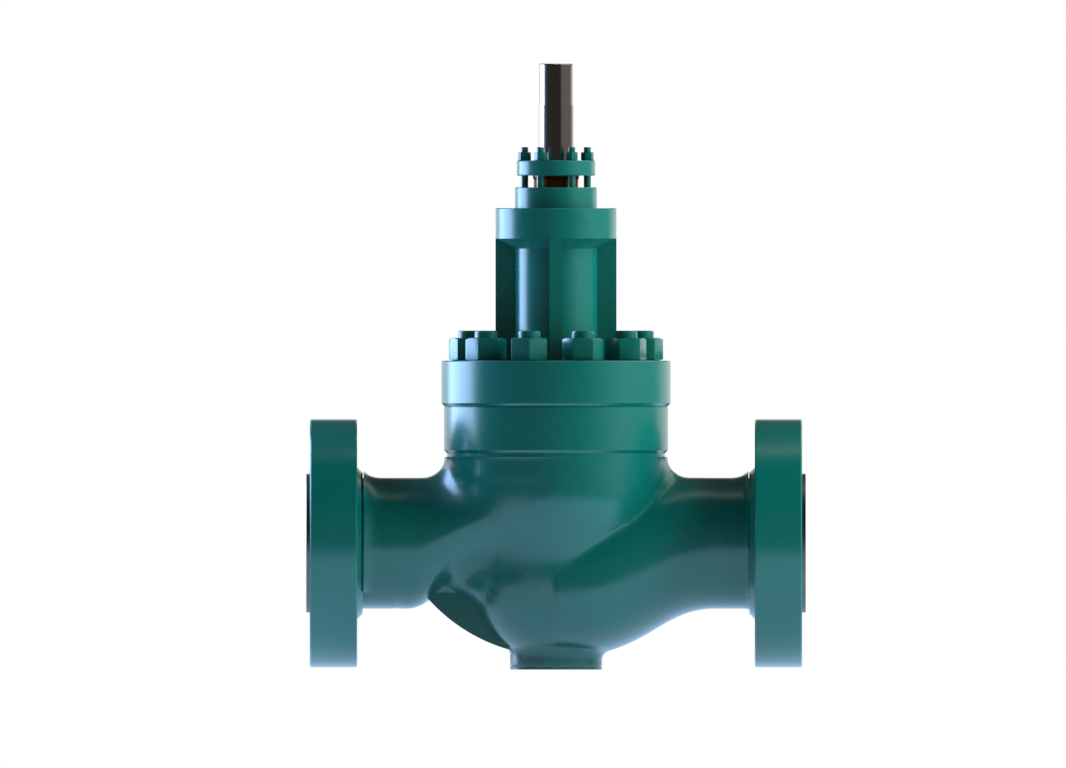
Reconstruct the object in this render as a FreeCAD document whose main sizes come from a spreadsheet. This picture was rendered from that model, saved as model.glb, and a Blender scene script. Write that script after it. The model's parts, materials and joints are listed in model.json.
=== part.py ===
"""Globe control valve, NPS 8 Class 1500, cage guided and with a balanced plug.

The frame has its origin under the middle of the bottom boss, +Z up along the stem and +X along the
flow: the inlet flange is at -X and the outlet flange at +X. All sizes are in millimetres.
"""
import FreeCAD, Part
import math
import os
import re
from collections import namedtuple

import Sketcher

# Sizes that can be set by themselves: name, value, what it is.
SIZES = [
    # End connections
    ("face_to_face", 972.0, "raised face to raised face"),
    ("port_height", 246.0, "port axis above the underside of the boss"),
    ("port_radius", 89.0, "bore of both ports"),
    ("body_wall", 38.5, "wall of the body casting"),
    ("tube_straight_end", 300.0, "where the round tube ends, from the stem axis"),
    ("tube_run_out", 20.0, "round stretch that each shaped tube ends with"),
    ("flange_radius", 241.3, "end flange"),
    ("flange_thickness", 92.1, "end flange without its raised face"),
    ("raised_face_radius", 134.95, "raised face"),
    ("raised_face_height", 7.0, "raised face"),
    ("flange_bolt_edge", 44.45, "rim to the bolt circle of the end flanges"),
    ("inlet_hole_radius", 22.25, "bolt holes of the inlet flange"),
    ("outlet_hole_spare", 0.25, "how much wider the bolt holes of the outlet flange are, in radius"),
    ("flange_hole_count", 12, "bolt holes in each end flange"),
    ("flange_edge_bevel", 2.5, "bevel on the rims of the end flanges"),
    ("collar_radius", 148.0, "collar at the back of the end flange, wide end"),
    ("collar_small_radius", 137.0, "collar, narrow end"),
    ("collar_length", 10.7, "collar"),
    # Barrel, bowl and boss of the body casting
    ("boss_radius", 89.5, "bottom boss"),
    ("bowl_radius", 170.0, "round bottom of the body"),
    ("bowl_drop", 62.0, "port axis to the centre of the round bottom"),
    ("waist_drop", 45.0, "port axis to where the barrel is narrowest"),
    ("shoulder_rise", 103.0, "port axis to where the barrel reaches its full width"),
    ("barrel_radius", 212.0, "barrel above the shoulder"),
    ("neck_flange_radius", 218.0, "flange that takes the bonnet"),
    ("neck_flange_thickness", 85.0, "flange that takes the bonnet"),
    ("joint_rise", 266.0, "port axis to the joint between the body and the bonnet"),
    ("joint_edge_bevel", 1.5, "bevel on the top rim of the body"),
    ("web_thickness", 60.0, "web under the inlet tube"),
    ("web_arc_radius", 333.0, "lower edge of the web"),
    ("web_arc_rise", 113.0, "port axis to the centre of the web's lower edge"),
    # Passages and bores of the body casting
    ("neck_bore_radius", 131.0, "bore of the neck"),
    ("neck_bore_length", 107.0, "bore of the neck, above the gallery around the cage"),
    ("gallery_floor_radius", 151.5, "gallery at its floor"),
    ("bridge_drop", 34.0, "port axis to the underside of the seat bridge"),
    ("bridge_thickness", 44.0, "seat bridge"),
    ("seat_shoulder_thickness", 8.0, "shoulder of the bridge that carries the seat ring"),
    ("seat_shoulder_width", 15.0, "shoulder of the bridge that carries the seat ring"),
    # Trim
    ("seat_gasket_thickness", 3.0, "gasket under the seat ring"),
    ("seat_ring_height", 33.0, "seat ring"),
    ("seat_ring_lip", 1.4, "how far the seat ring stands out past the cage"),
    ("seat_land", 5.1, "how far the seat's opening is inside the cage bore"),
    ("seat_chamfer", 6.0, "seat cone at the top of the opening"),
    ("cage_bore_radius", 89.1, "bore of the cage"),
    ("cage_wall", 15.0, "wall of the cage"),
    ("cage_flange_thickness", 24.0, "flange at the top of the cage"),
    ("cage_gasket_width", 30.0, "gasket between the cage flange and the bonnet"),
    ("cage_window_width", 88.0, "flow windows"),
    ("cage_window_height", 95.0, "flow windows"),
    ("cage_window_sill", 8.0, "ring of cage below the windows"),
    ("cage_gasket_thickness", 3.0, "gasket between the cage flange and the bonnet"),
    ("bonnet_spigot", 3.0, "spigot of the bonnet below the joint"),
    ("plug_length", 150.0, "plug"),
    ("plug_cone", 9.0, "seating cone of the plug"),
    ("plug_disc", 40.0, "disc at the bottom of the plug"),
    ("plug_skirt_wall", 19.0, "skirt of the plug"),
    ("plug_hub_radius", 52.0, "hub around the stem"),
    ("plug_hub_height", 70.0, "hub above the disc"),
    ("plug_vent_radius", 7.0, "balance holes through the disc"),
    ("plug_vent_count", 4, "balance holes"),
    ("ring_groove_height", 6.0, "piston ring groove"),
    ("ring_groove_depth", 4.5, "piston ring groove"),
    ("ring_groove_pitch", 16.0, "spacing of the piston rings"),
    ("pin_radius", 6.0, "pin through the hub and the stem"),
    ("pin_height", 38.0, "pin above the disc"),
    # Stem
    ("stem_radius", 34.0, "stem through the packing"),
    ("stem_step_depth", 1.25, "step down to the upper end of the stem"),
    ("stem_exposed", 107.6, "wide part of the stem above the gland flange"),
    ("stem_end_length", 80.8, "upper end of the stem"),
    ("stem_bevel", 2.0, "bevel at the top of the stem"),
    # Bonnet
    ("bonnet_flange_radius", 223.0, "bonnet flange"),
    ("bonnet_flange_thickness", 89.3, "bonnet flange"),
    ("bonnet_flange_bevel", 6.5, "bevel on the lower rim of the bonnet flange"),
    ("bonnet_rim_bevel", 2.0, "bevel on the upper rim of the bonnet flange"),
    ("column_radius", 81.4, "column of the bonnet"),
    ("column_length", 237.5, "from the flange to the mounting pad"),
    ("rib_thickness", 26.0, "four ribs of the column"),
    ("pad_radius", 117.7, "mounting pad, and the reach of the ribs"),
    ("pad_thickness", 59.2, "mounting pad"),
    ("pad_cone_height", 19.5, "cone under the mounting pad"),
    ("hub_radius", 79.8, "pilot hub above the pad"),
    ("hub_height", 40.5, "pilot hub"),
    ("hub_bevel", 1.5, "bevels on the pad and the hub"),
    ("bonnet_bore_gap", 2.0, "around the stem in the bonnet"),
    ("yoke_hole_circle", 98.7, "radius of the circle of tapped holes in the pad"),
    ("yoke_hole_radius", 8.75, "tapped holes in the pad"),
    ("yoke_hole_depth", 40.0, "tapped holes in the pad"),
    ("yoke_hole_count", 8, "tapped holes in the pad"),
    ("bushing_wall", 10.0, "guide bushing"),
    ("bushing_length", 80.0, "guide bushing"),
    # Bonnet bolting
    ("bonnet_stud_circle", 168.35, "radius of the circle of bonnet studs"),
    ("bonnet_stud_count", 10, "bonnet studs"),
    ("bonnet_stud_radius", 22.2, "bonnet studs"),
    ("bonnet_stud_hole_gap", 1.6, "around the studs in the bonnet flange"),
    ("bonnet_stud_depth", 70.0, "length of stud in the body"),
    ("bonnet_stud_end", 14.2, "stud above its nut"),
    ("bonnet_stud_bevel", 2.2, "bevel at the tips of the studs"),
    ("bonnet_nut_flats", 69.85, "bonnet nut across flats"),
    ("bonnet_nut_height", 44.2, "bonnet nut"),
    ("bonnet_nut_bevel", 4.0, "bevel at the top of a bonnet nut"),
    ("tap_depth_spare", 4.0, "tapped hole below a stud"),
    # Packing box
    ("packing_width", 9.5, "packing ring, across"),
    ("box_depth", 148.5, "packing box"),
    ("box_ring_height", 8.0, "ring at the bottom of the packing box"),
    ("packing_ring_height", 9.5, "packing ring"),
    ("lower_packing_count", 4, "packing rings below the lantern ring"),
    ("upper_packing_count", 6, "packing rings above the lantern ring"),
    ("lantern_height", 22.0, "lantern ring"),
    ("lantern_groove", 2.4, "grooves of the lantern ring"),
    ("lantern_lip", 5.0, "lips of the lantern ring"),
    ("lantern_hole_radius", 3.0, "holes of the lantern ring"),
    # Gland
    ("gland_gap", 22.8, "hub to gland flange"),
    ("gland_flange_radius", 76.4, "gland flange"),
    ("gland_flange_thickness", 29.6, "gland flange"),
    ("gland_bevel", 2.0, "bevels on the gland flange"),
    ("follower_lip_width", 1.7, "how far the follower's lip stands out past its box"),
    ("follower_lip_height", 7.4, "lip of the packing follower"),
    ("gland_stud_circle", 61.0, "radius of the circle of gland studs"),
    ("gland_stud_count", 6, "gland studs"),
    ("gland_stud_radius", 7.0, "gland studs"),
    ("gland_stud_hole_gap", 0.8, "around the studs in the gland flange"),
    ("gland_stud_depth", 35.0, "length of stud in the hub"),
    ("gland_stud_end", 9.9, "stud above its nut"),
    ("gland_stud_bevel", 1.0, "bevel at the tips of the studs"),
    ("gland_nut_flats", 22.0, "gland nut across flats"),
    ("gland_nut_height", 16.0, "gland nut"),
    ("gland_nut_bevel", 1.6, "bevel at the top of a gland nut"),
    ("wiper_height", 8.0, "stem wiper"),
    ("wiper_width", 5.0, "stem wiper, outside the bore of the gland flange"),
    # Clearances
    ("running_gap", 0.05, "radial clearance of pieces that slide or turn"),
    ("fixed_gap", 0.1, "radial clearance of pieces that are fixed in one another"),
    ("loose_gap", 0.3, "radial clearance of pieces that only have to pass"),
    ("seat_gap", 0.3, "between the plug and its seat when closed"),
]

# Sizes and places that follow from those above: name, formula.
PLACES = [
    ("pipe_radius", "port_radius + body_wall"),
    ("tube_end", "tube_straight_end + tube_run_out"),
    ("flange_back", "face_to_face / 2 - raised_face_height - flange_thickness"),
    ("flange_front", "face_to_face / 2 - raised_face_height"),
    ("port_face", "face_to_face / 2"),
    ("collar_end", "flange_back - collar_length"),
    ("rim_radius", "flange_radius - flange_edge_bevel"),
    ("flange_hole_circle", "flange_radius - flange_bolt_edge"),
    ("outlet_hole_radius", "inlet_hole_radius + outlet_hole_spare"),
    ("rim_back", "flange_back + flange_edge_bevel"),
    ("rim_front", "flange_front - flange_edge_bevel"),
    ("tube_top", "port_height + pipe_radius"),
    ("bowl_height", "port_height - bowl_drop"),
    ("waist_height", "port_height - waist_drop"),
    ("shoulder_height", "port_height + shoulder_rise"),
    ("joint_height", "port_height + joint_rise"),
    ("s_radius", "((barrel_radius - bowl_radius) ^ 2 + (shoulder_height - waist_height) ^ 2)"
                 " / (4 * (barrel_radius - bowl_radius))"),
    ("s_mid_radius", "(barrel_radius + bowl_radius) / 2"),
    ("s_mid_height", "(shoulder_height + waist_height) / 2"),
    ("boss_top", "bowl_height - sqrt(bowl_radius ^ 2 - boss_radius ^ 2)"),
    ("neck_flange_base", "joint_height - neck_flange_thickness"),
    ("neck_bevel_base", "neck_flange_base - (neck_flange_radius - barrel_radius)"),
    ("joint_rim_radius", "neck_flange_radius - joint_edge_bevel"),
    ("joint_rim_height", "joint_height - joint_edge_bevel"),
    ("gallery_radius", "barrel_radius - body_wall"),
    ("gallery_top", "joint_height - neck_bore_length"),
    ("bridge_bottom", "port_height - bridge_drop"),
    ("bridge_top", "bridge_bottom + bridge_thickness"),
    ("seat_shoulder_height", "bridge_bottom + seat_shoulder_thickness"),
    ("chamber_radius", "bowl_radius - body_wall"),
    ("chamber_floor", "bowl_height - chamber_radius"),
    ("chamber_roof_radius", "sqrt(chamber_radius ^ 2 - (bridge_bottom - bowl_height) ^ 2)"),
    ("cage_radius", "cage_bore_radius + cage_wall"),
    ("seat_ring_radius", "cage_radius + seat_ring_lip"),
    ("seat_port_radius", "cage_bore_radius - seat_land"),
    ("seat_recess_radius", "seat_ring_radius + fixed_gap"),
    ("seat_passage_radius", "seat_recess_radius - seat_shoulder_width"),
    ("seat_base", "seat_shoulder_height + seat_gasket_thickness"),
    ("seat_top", "seat_base + seat_ring_height"),
    ("seat_cone_base", "seat_top - seat_chamfer"),
    ("seat_cone_radius", "seat_port_radius + seat_chamfer"),
    ("cage_top", "joint_height - bonnet_spigot - cage_gasket_thickness"),
    ("cage_flange_base", "cage_top - cage_flange_thickness"),
    ("cage_flange_radius", "neck_bore_radius - fixed_gap"),
    ("cage_gasket_radius", "cage_flange_radius - cage_gasket_width"),
    ("spigot_base", "joint_height - bonnet_spigot"),
    ("window_base", "seat_top + cage_window_sill"),
    ("plug_radius", "cage_bore_radius - running_gap"),
    ("plug_cone_top", "seat_cone_base + plug_radius - seat_port_radius + seat_gap * sqrt(2)"),
    ("plug_base", "plug_cone_top - plug_cone"),
    ("plug_base_radius", "plug_radius - plug_cone"),
    ("plug_top", "plug_base + plug_length"),
    ("plug_disc_top", "plug_base + plug_disc"),
    ("plug_skirt_inside", "plug_radius - plug_skirt_wall"),
    ("plug_hub_top", "plug_disc_top + plug_hub_height"),
    ("vent_circle", "(plug_skirt_inside + plug_hub_radius) / 2"),
    ("groove_radius", "plug_radius - ring_groove_depth"),
    ("upper_groove_base", "plug_top - ring_groove_pitch"),
    ("upper_groove_top", "upper_groove_base + ring_groove_height"),
    ("lower_groove_base", "upper_groove_base - ring_groove_pitch"),
    ("lower_groove_top", "lower_groove_base + ring_groove_height"),
    ("piston_ring_inside", "groove_radius + loose_gap"),
    ("piston_ring_outside", "cage_bore_radius - running_gap / 2"),
    ("upper_ring_base", "upper_groove_base + running_gap"),
    ("upper_ring_top", "upper_groove_top - running_gap"),
    ("lower_ring_base", "lower_groove_base + running_gap"),
    ("lower_ring_top", "lower_groove_top - running_gap"),
    ("pin_place", "plug_disc_top + pin_height"),
    ("pin_hole_radius", "pin_radius + fixed_gap"),
    ("pin_half_length", "sqrt(plug_hub_radius ^ 2 - pin_radius ^ 2) - loose_gap"),
    ("bonnet_flange_top", "joint_height + bonnet_flange_thickness"),
    ("bonnet_bevel_radius", "bonnet_flange_radius - bonnet_flange_bevel"),
    ("bonnet_bevel_top", "joint_height + bonnet_flange_bevel"),
    ("bonnet_rim_radius", "bonnet_flange_radius - bonnet_rim_bevel"),
    ("bonnet_rim_height", "bonnet_flange_top - bonnet_rim_bevel"),
    ("spigot_radius", "neck_bore_radius - fixed_gap"),
    ("pad_base", "bonnet_flange_top + column_length"),
    ("pad_cone_base", "pad_base - pad_cone_height"),
    ("pad_top", "pad_base + pad_thickness"),
    ("pad_rim_radius", "pad_radius - hub_bevel"),
    ("pad_rim_height", "pad_top - hub_bevel"),
    ("hub_top", "pad_top + hub_height"),
    ("hub_rim_radius", "hub_radius - hub_bevel"),
    ("hub_rim_height", "hub_top - hub_bevel"),
    ("rib_root_radius", "column_radius - rib_thickness / 2"),
    ("bonnet_bore_radius", "stem_radius + bonnet_bore_gap"),
    ("bushing_radius", "stem_radius + bushing_wall"),
    ("bushing_seat_radius", "bushing_radius + fixed_gap"),
    ("bushing_top", "spigot_base + bushing_length"),
    ("guide_radius", "stem_radius + running_gap"),
    ("loose_bore_radius", "stem_radius + loose_gap"),
    ("box_radius", "stem_radius + packing_width"),
    ("box_floor", "hub_top - box_depth"),
    ("packing_radius", "box_radius - running_gap"),
    ("box_ring_top", "box_floor + box_ring_height"),
    ("lower_packing_top", "box_ring_top + lower_packing_count * packing_ring_height"),
    ("lantern_top", "lower_packing_top + lantern_height"),
    ("lantern_web_base", "lower_packing_top + lantern_lip"),
    ("lantern_web_top", "lantern_top - lantern_lip"),
    ("lantern_middle", "lower_packing_top + lantern_height / 2"),
    ("lantern_outer_waist", "packing_radius - lantern_groove"),
    ("lantern_inner_waist", "loose_bore_radius + lantern_groove"),
    ("upper_packing_top", "lantern_top + upper_packing_count * packing_ring_height"),
    ("gland_base", "hub_top + gland_gap"),
    ("gland_top", "gland_base + gland_flange_thickness"),
    ("gland_rim_radius", "gland_flange_radius - gland_bevel"),
    ("gland_rim_base", "gland_base + gland_bevel"),
    ("gland_rim_top", "gland_top - gland_bevel"),
    ("gland_bore_radius", "stem_radius + bonnet_bore_gap"),
    ("gland_hole_radius", "gland_stud_radius + gland_stud_hole_gap"),
    ("lip_base", "gland_base - follower_lip_height"),
    ("lip_taper_top", "gland_base - follower_lip_height / 2"),
    ("follower_radius", "box_radius - 2 * running_gap"),
    ("follower_lip_radius", "box_radius + follower_lip_width"),
    ("wiper_base", "gland_top - wiper_height"),
    ("wiper_radius", "gland_bore_radius + wiper_width"),
    ("wiper_seat_radius", "wiper_radius + fixed_gap"),
    ("gland_nut_top", "gland_top + gland_nut_height"),
    ("gland_nut_bore", "gland_stud_radius + running_gap"),
    ("gland_stud_base", "hub_top - gland_stud_depth"),
    ("gland_tap_base", "gland_stud_base - tap_depth_spare"),
    ("gland_tap_radius", "gland_stud_radius + fixed_gap"),
    ("gland_stud_top", "gland_nut_top + gland_stud_end"),
    ("gland_stud_bevel_base", "gland_stud_top - gland_stud_bevel"),
    ("gland_stud_tip_radius", "gland_stud_radius - gland_stud_bevel"),
    ("bonnet_stud_base", "joint_height - bonnet_stud_depth"),
    ("bonnet_tap_base", "bonnet_stud_base - tap_depth_spare"),
    ("bonnet_tap_radius", "bonnet_stud_radius + fixed_gap"),
    ("bonnet_hole_radius", "bonnet_stud_radius + bonnet_stud_hole_gap"),
    ("bonnet_nut_top", "bonnet_flange_top + bonnet_nut_height"),
    ("bonnet_nut_bore", "bonnet_stud_radius + fixed_gap"),
    ("bonnet_stud_top", "bonnet_nut_top + bonnet_stud_end"),
    ("bonnet_stud_bevel_base", "bonnet_stud_top - bonnet_stud_bevel"),
    ("bonnet_stud_tip_radius", "bonnet_stud_radius - bonnet_stud_bevel"),
    ("stem_end_radius", "stem_radius - stem_step_depth"),
    ("stem_step", "gland_top + stem_exposed"),
    ("stem_top", "stem_step + stem_end_length"),
    ("stem_bevel_base", "stem_top - stem_bevel"),
    ("stem_tip_radius", "stem_end_radius - stem_bevel"),
]

# Sections of the tubes of the body, from the stem axis outwards. The first number is the distance
# from the axis as a share of where the round tube ends, and the others are shares of the round
# tube's radius: height of the widest line above the port axis, half width, and reach below that
# line. The inlet tube keeps its top line level, and its half widths are given as what they lack of
# the barrel's radius.
INLET_SECTIONS = [
    (0.0000, 0.8078, 0.0941, 1.1608),
    (0.2000, 0.6588, 0.1412, 0.9725),
    (0.3333, 0.5412, 0.2353, 0.8078),
    (0.5000, 0.3686, 0.4314, 0.6196),
    (0.6667, 0.1725, 0.5412, 0.6275),
    (0.8333, 0.0314, 0.6275, 0.9176),
]
# The outlet tube's half widths are given as what they exceed the bowl's radius by. It also has a
# reach above the widest line, and a roof for its passage that stays under the bridge and the
# gallery, given above the port axis.
OUTLET_SECTIONS = [
    (0.0000, -0.7137, 0.0235, 1.0510, 1.3490, -0.2667),
    (0.2133, -0.6510, 0.0392, 1.0667, 1.3490, -0.2667),
    (0.4267, -0.5020, -0.0078, 1.0745, 1.3176, -0.2196),
    (0.6100, -0.2902, -0.1176, 1.0706, 1.2157, -0.0471),
    (0.8333, -0.0784, -0.2588, 1.0039, 1.0784, 0.4627),
]
# The bowl runs out under the inlet tube as a horn: distance, height above the port axis, what the
# half width lacks of the bowl's radius, reach below and reach above.
HORN_SECTIONS = [
    (0.0000, -0.4863, 0.0784, 1.1608, 0.4706),
    (0.2000, -0.4706, 0.1490, 1.1451, 0.6275),
    (0.3333, -0.4392, 0.2980, 1.0510, 0.7843),
    (0.5000, -0.3216, 0.5333, 0.7608, 0.9412),
    (0.6667, -0.2431, 0.8471, 0.5647, 0.7843),
    (0.8167, -0.1255, 1.1451, 0.6667, 0.4706),
]
# Angles of the arc under the web, from straight below the stem axis, in degrees.
WEB_ARC = (13.0, 31.0, 48.5)
# How far each nut is turned from having a corner on its circle, in degrees, as tightened.
BONNET_NUT_TURNS = (5, 21, 48, 13, 33, 55, 32, 18, 12, 48)
GLAND_NUT_TURNS = (10, 35, 22, 50, 5, 31)

# One section of a tube of the body: its distance from the stem axis, the height of its widest line,
# half its width, and how far it reaches above and below that line.
Section = namedtuple("Section", "distance height half_width rise drop")

# A corner of a turned outline: names of its radius and height, and for a corner that an arc leads
# to, the name of the arc's radius and +1 where the arc bulges away from the axis or -1 where towards.
Corner = namedtuple("Corner", "radius height arc side", defaults=(None, 1))

document = FreeCAD.newDocument("globe_control_valve")
NODES = {}


def node(name, piece):
    """Give a finished piece the name that its file gets."""
    piece.Label = name
    NODES[name] = piece
    return piece


def fill_sheet(name, rows):
    """Put named values or formulas into a sheet, one to a row."""
    sheet = document.addObject("Spreadsheet::Sheet", name)
    for row, (alias, content, *note) in enumerate(rows, start=1):
        sheet.set("A%d" % row, note[0] if note else alias)
        sheet.set("B%d" % row, str(content))
        sheet.setAlias("B%d" % row, alias)
    document.recompute()
    return sheet


SIZE_NAMES = [row[0] for row in SIZES]
PLACE_NAMES = [row[0] for row in PLACES]


def in_sheets(formula):
    """Spell each name in a formula with the sheet that holds it."""
    def spelled(match):
        word = match.group()
        if word in SIZE_NAMES:
            return "sizes." + word
        return "places." + word if word in PLACE_NAMES else word
    return re.sub("[a-z_]+", spelled, formula)


def place_formula(formula):
    """Formula of a cell in the second sheet, where that sheet's own names stand alone."""
    return "=" + in_sheets(formula).replace("places.", "")


sizes = fill_sheet("sizes", SIZES)
places = fill_sheet("places", [(name, place_formula(formula)) for name, formula in PLACES])


def value(name):
    """Number behind a name in either sheet."""
    holder = sizes if name in SIZE_NAMES else places
    number = holder.get(name)
    return float(getattr(number, "Value", number))


def count(name):
    """Whole number behind a name in either sheet."""
    return int(round(value(name)))


def bind(thing, **properties):
    """Bind properties of an object to formulas of named sizes."""
    for name, formula in properties.items():
        thing.setExpression(name, in_sheets(formula))
    return thing


def origin_item(body, role):
    """Plane or axis of a body's own origin."""
    for item in body.Origin.OriginFeatures:
        if item.Role == role:
            return item
    raise LookupError(role)


def arc_between(start, end, radius, side):
    """Arc of a circle between two points of a sketch, and whether it runs from end to start."""
    chord = end - start
    middle = (start + end) / 2
    reach = math.sqrt(max(radius ** 2 - (chord.Length / 2) ** 2, 0.0))
    across = FreeCAD.Vector(chord.y, -chord.x, 0).normalize()
    if (across.x > 0) == (side > 0):
        across = -across
    centre = middle + across * reach
    first = math.atan2(start.y - centre.y, start.x - centre.x)
    last = math.atan2(end.y - centre.y, end.x - centre.x)
    backwards = (last - first) % (2 * math.pi) > math.pi
    if backwards:
        first, last = last, first
    circle = Part.Circle(centre, FreeCAD.Vector(0, 0, 1), radius)
    return Part.ArcOfCircle(circle, first, last), backwards


def profile_sketch(body, name, corners):
    """Closed outline in the XZ plane, each corner held by named sizes."""
    sketch = body.newObject("Sketcher::SketchObject", name)
    sketch.AttachmentSupport = (origin_item(body, "XZ_Plane"), "")
    sketch.MapMode = "FlatFace"
    points = [FreeCAD.Vector(value(corner.radius) if corner.radius else 0.0,
                             value(corner.height) if corner.height else 0.0, 0)
              for corner in corners]
    starts, ends = [], []
    for index, corner in enumerate(corners):
        start, end = points[index - 1], points[index]
        if corner.arc:
            curve, backwards = arc_between(start, end, value(corner.arc), corner.side)
        else:
            curve, backwards = Part.LineSegment(start, end), False
        edge = sketch.addGeometry(curve, False)
        starts.append((edge, 2 if backwards else 1))
        ends.append((edge, 1 if backwards else 2))
    for index, corner in enumerate(corners):
        following = (index + 1) % len(corners)
        sketch.addConstraint(Sketcher.Constraint("Coincident", *ends[index], *starts[following]))
        for kind, source, axis in (("DistanceX", corner.radius, -2), ("DistanceY", corner.height, -1)):
            if source is None:
                sketch.addConstraint(Sketcher.Constraint("PointOnObject", *ends[index], axis))
                continue
            held = sketch.addConstraint(Sketcher.Constraint(kind, -1, 1, *ends[index], value(source)))
            sketch.setExpression("Constraints[%d]" % held, in_sheets(source))
        if corner.arc:
            held = sketch.addConstraint(
                Sketcher.Constraint("Radius", starts[index][0], value(corner.arc)))
            sketch.setExpression("Constraints[%d]" % held, in_sheets(corner.arc))
    return sketch


def turned(name, corners):
    """Body turned about the Z axis from an outline of corners."""
    body = document.addObject("PartDesign::Body", name)
    sketch = profile_sketch(body, name + "_outline", [Corner(*corner) for corner in corners])
    turning = body.newObject("PartDesign::Revolution", name + "_turning")
    turning.Profile = sketch
    turning.ReferenceAxis = (sketch, ["V_Axis"])
    turning.Angle = 360
    body.Tip = turning
    return body


def ring_outline(inner, outer, base, top):
    """Corners of a plain ring."""
    return [(inner, base), (outer, base), (outer, top), (inner, top)]


def hole_circle(body, name, circle, radius, depth_from, depth_to, copies, first_turn="0"):
    """Cut a circle of round holes into a turned body, between two heights."""
    sketch = body.newObject("Sketcher::SketchObject", name + "_place")
    sketch.AttachmentSupport = (origin_item(body, "XY_Plane"), "")
    sketch.MapMode = "FlatFace"
    bind(sketch, **{"AttachmentOffset.Base.z": depth_to,
                    "AttachmentOffset.Rotation.Angle": "(%s) * 1 deg" % first_turn})
    middle = FreeCAD.Vector(value(circle), 0, 0)
    edge = sketch.addGeometry(Part.Circle(middle, FreeCAD.Vector(0, 0, 1), value(radius)), False)
    sketch.addConstraint(Sketcher.Constraint("PointOnObject", edge, 3, -1))
    held = sketch.addConstraint(Sketcher.Constraint("DistanceX", -1, 1, edge, 3, value(circle)))
    sketch.setExpression("Constraints[%d]" % held, in_sheets(circle))
    held = sketch.addConstraint(Sketcher.Constraint("Radius", edge, value(radius)))
    sketch.setExpression("Constraints[%d]" % held, in_sheets(radius))
    document.recompute()
    pocket = body.newObject("PartDesign::Pocket", name)
    pocket.Profile = sketch
    bind(pocket, Length="%s - (%s)" % (depth_to, depth_from))
    document.recompute()
    pattern = body.newObject("PartDesign::PolarPattern", name + "_pattern")
    pattern.Originals = [pocket]
    pattern.Axis = (origin_item(body, "Z_Axis"), [""])
    pattern.Angle = 360
    bind(pattern, Occurrences=copies)
    body.Tip = pattern
    return body


def cylinder(name, radius, base, height, **placing):
    """Round bar along the Z axis."""
    bar = bind(document.addObject("Part::Cylinder", name), Radius=radius, Height=height)
    return bind(bar, **{"Placement.Base.z": base}, **placing)


def joined(name, pieces):
    """One solid from several that overlap."""
    whole = document.addObject("Part::MultiFuse", name)
    whole.Shapes = pieces
    whole.Refine = True
    return whole


def cut(name, base, tool):
    """A solid with another taken out of it."""
    rest = document.addObject("Part::Cut", name)
    rest.Base = base
    rest.Tool = tool
    return rest


def set_on_circle(piece, circle, copies, index, height=None, turn="0"):
    """Move a piece from the Z axis to its place on a circle, turned about its own axis."""
    angle = "(360 deg * %d / %s)" % (index, copies)
    piece.Placement = FreeCAD.Placement(FreeCAD.Vector(), FreeCAD.Rotation(FreeCAD.Vector(0, 0, 1), 0))
    bind(piece, **{
        "Placement.Base.x": "%s * cos(%s)" % (circle, angle),
        "Placement.Base.y": "%s * sin(%s)" % (circle, angle),
        "Placement.Rotation.Angle": "%s + (%s) * 1 deg" % (angle, turn),
    })
    if height:
        bind(piece, **{"Placement.Base.z": height})
    return piece


def half_ellipse(left, right, middle, height, reach):
    """Upper or lower half of a section, from one widest point to the other."""
    centre = FreeCAD.Vector(middle, 0, height)
    side = FreeCAD.Vector(middle, abs(left.y), height)
    tip = FreeCAD.Vector(middle, 0, height + reach)
    if centre.distanceToPoint(side) >= centre.distanceToPoint(tip):
        ellipse = Part.Ellipse(side, tip, centre)
    else:
        ellipse = Part.Ellipse(tip, side, centre)
    first, through, last = (ellipse.parameter(point) for point in (left, tip, right))
    turn = 2 * math.pi
    if (through - first) % turn < (last - first) % turn:
        return Part.ArcOfEllipse(ellipse, first, first + (last - first) % turn).toShape()
    return Part.ArcOfEllipse(ellipse, last, last + (first - last) % turn).toShape()


def tube_section(section, way):
    """Egg-shaped section of a tube, standing across the X axis."""
    middle = way * section.distance
    left = FreeCAD.Vector(middle, -section.half_width, section.height)
    right = FreeCAD.Vector(middle, section.half_width, section.height)
    upper = half_ellipse(left, right, middle, section.height, section.rise)
    lower = half_ellipse(left, right, middle, section.height, -section.drop)
    return Part.Wire(Part.__sortEdges__([upper, lower]))


def tube(name, sections, way):
    """Tube through a row of sections, towards -X or +X of the stem axis."""
    piece = document.addObject("Part::Feature", name)
    piece.Shape = Part.makeLoft([tube_section(section, way) for section in sections], True, False)
    return piece


# Body casting, outside

straight = value("tube_straight_end")


def scaled(sections):
    """Rows of a table of sections in millimetres."""
    return [(row[0] * straight, *(share * value("pipe_radius") for share in row[1:])) for row in sections]


pipe_sections = [
    Section(distance, value("port_height"), value("pipe_radius"), value("pipe_radius"), value("pipe_radius"))
    for distance in (straight, value("tube_end"))
]
inlet_sections = [
    Section(distance, value("port_height") + rise, value("barrel_radius") - less,
            value("pipe_radius") - rise, drop)
    for distance, rise, less, drop in scaled(INLET_SECTIONS)
] + pipe_sections
outlet_sections = [
    Section(distance, value("port_height") + rise, value("bowl_radius") + more, reach, drop)
    for distance, rise, more, drop, reach, roof in scaled(OUTLET_SECTIONS)
] + pipe_sections

horn_sections = [
    Section(distance, value("port_height") + rise, value("bowl_radius") - less, reach, drop)
    for distance, rise, less, drop, reach in scaled(HORN_SECTIONS)
]

inlet_tube = tube("inlet_tube", inlet_sections, -1)
horn = tube("horn", horn_sections, -1)
outlet_tube = tube("outlet_tube", outlet_sections, 1)

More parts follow.
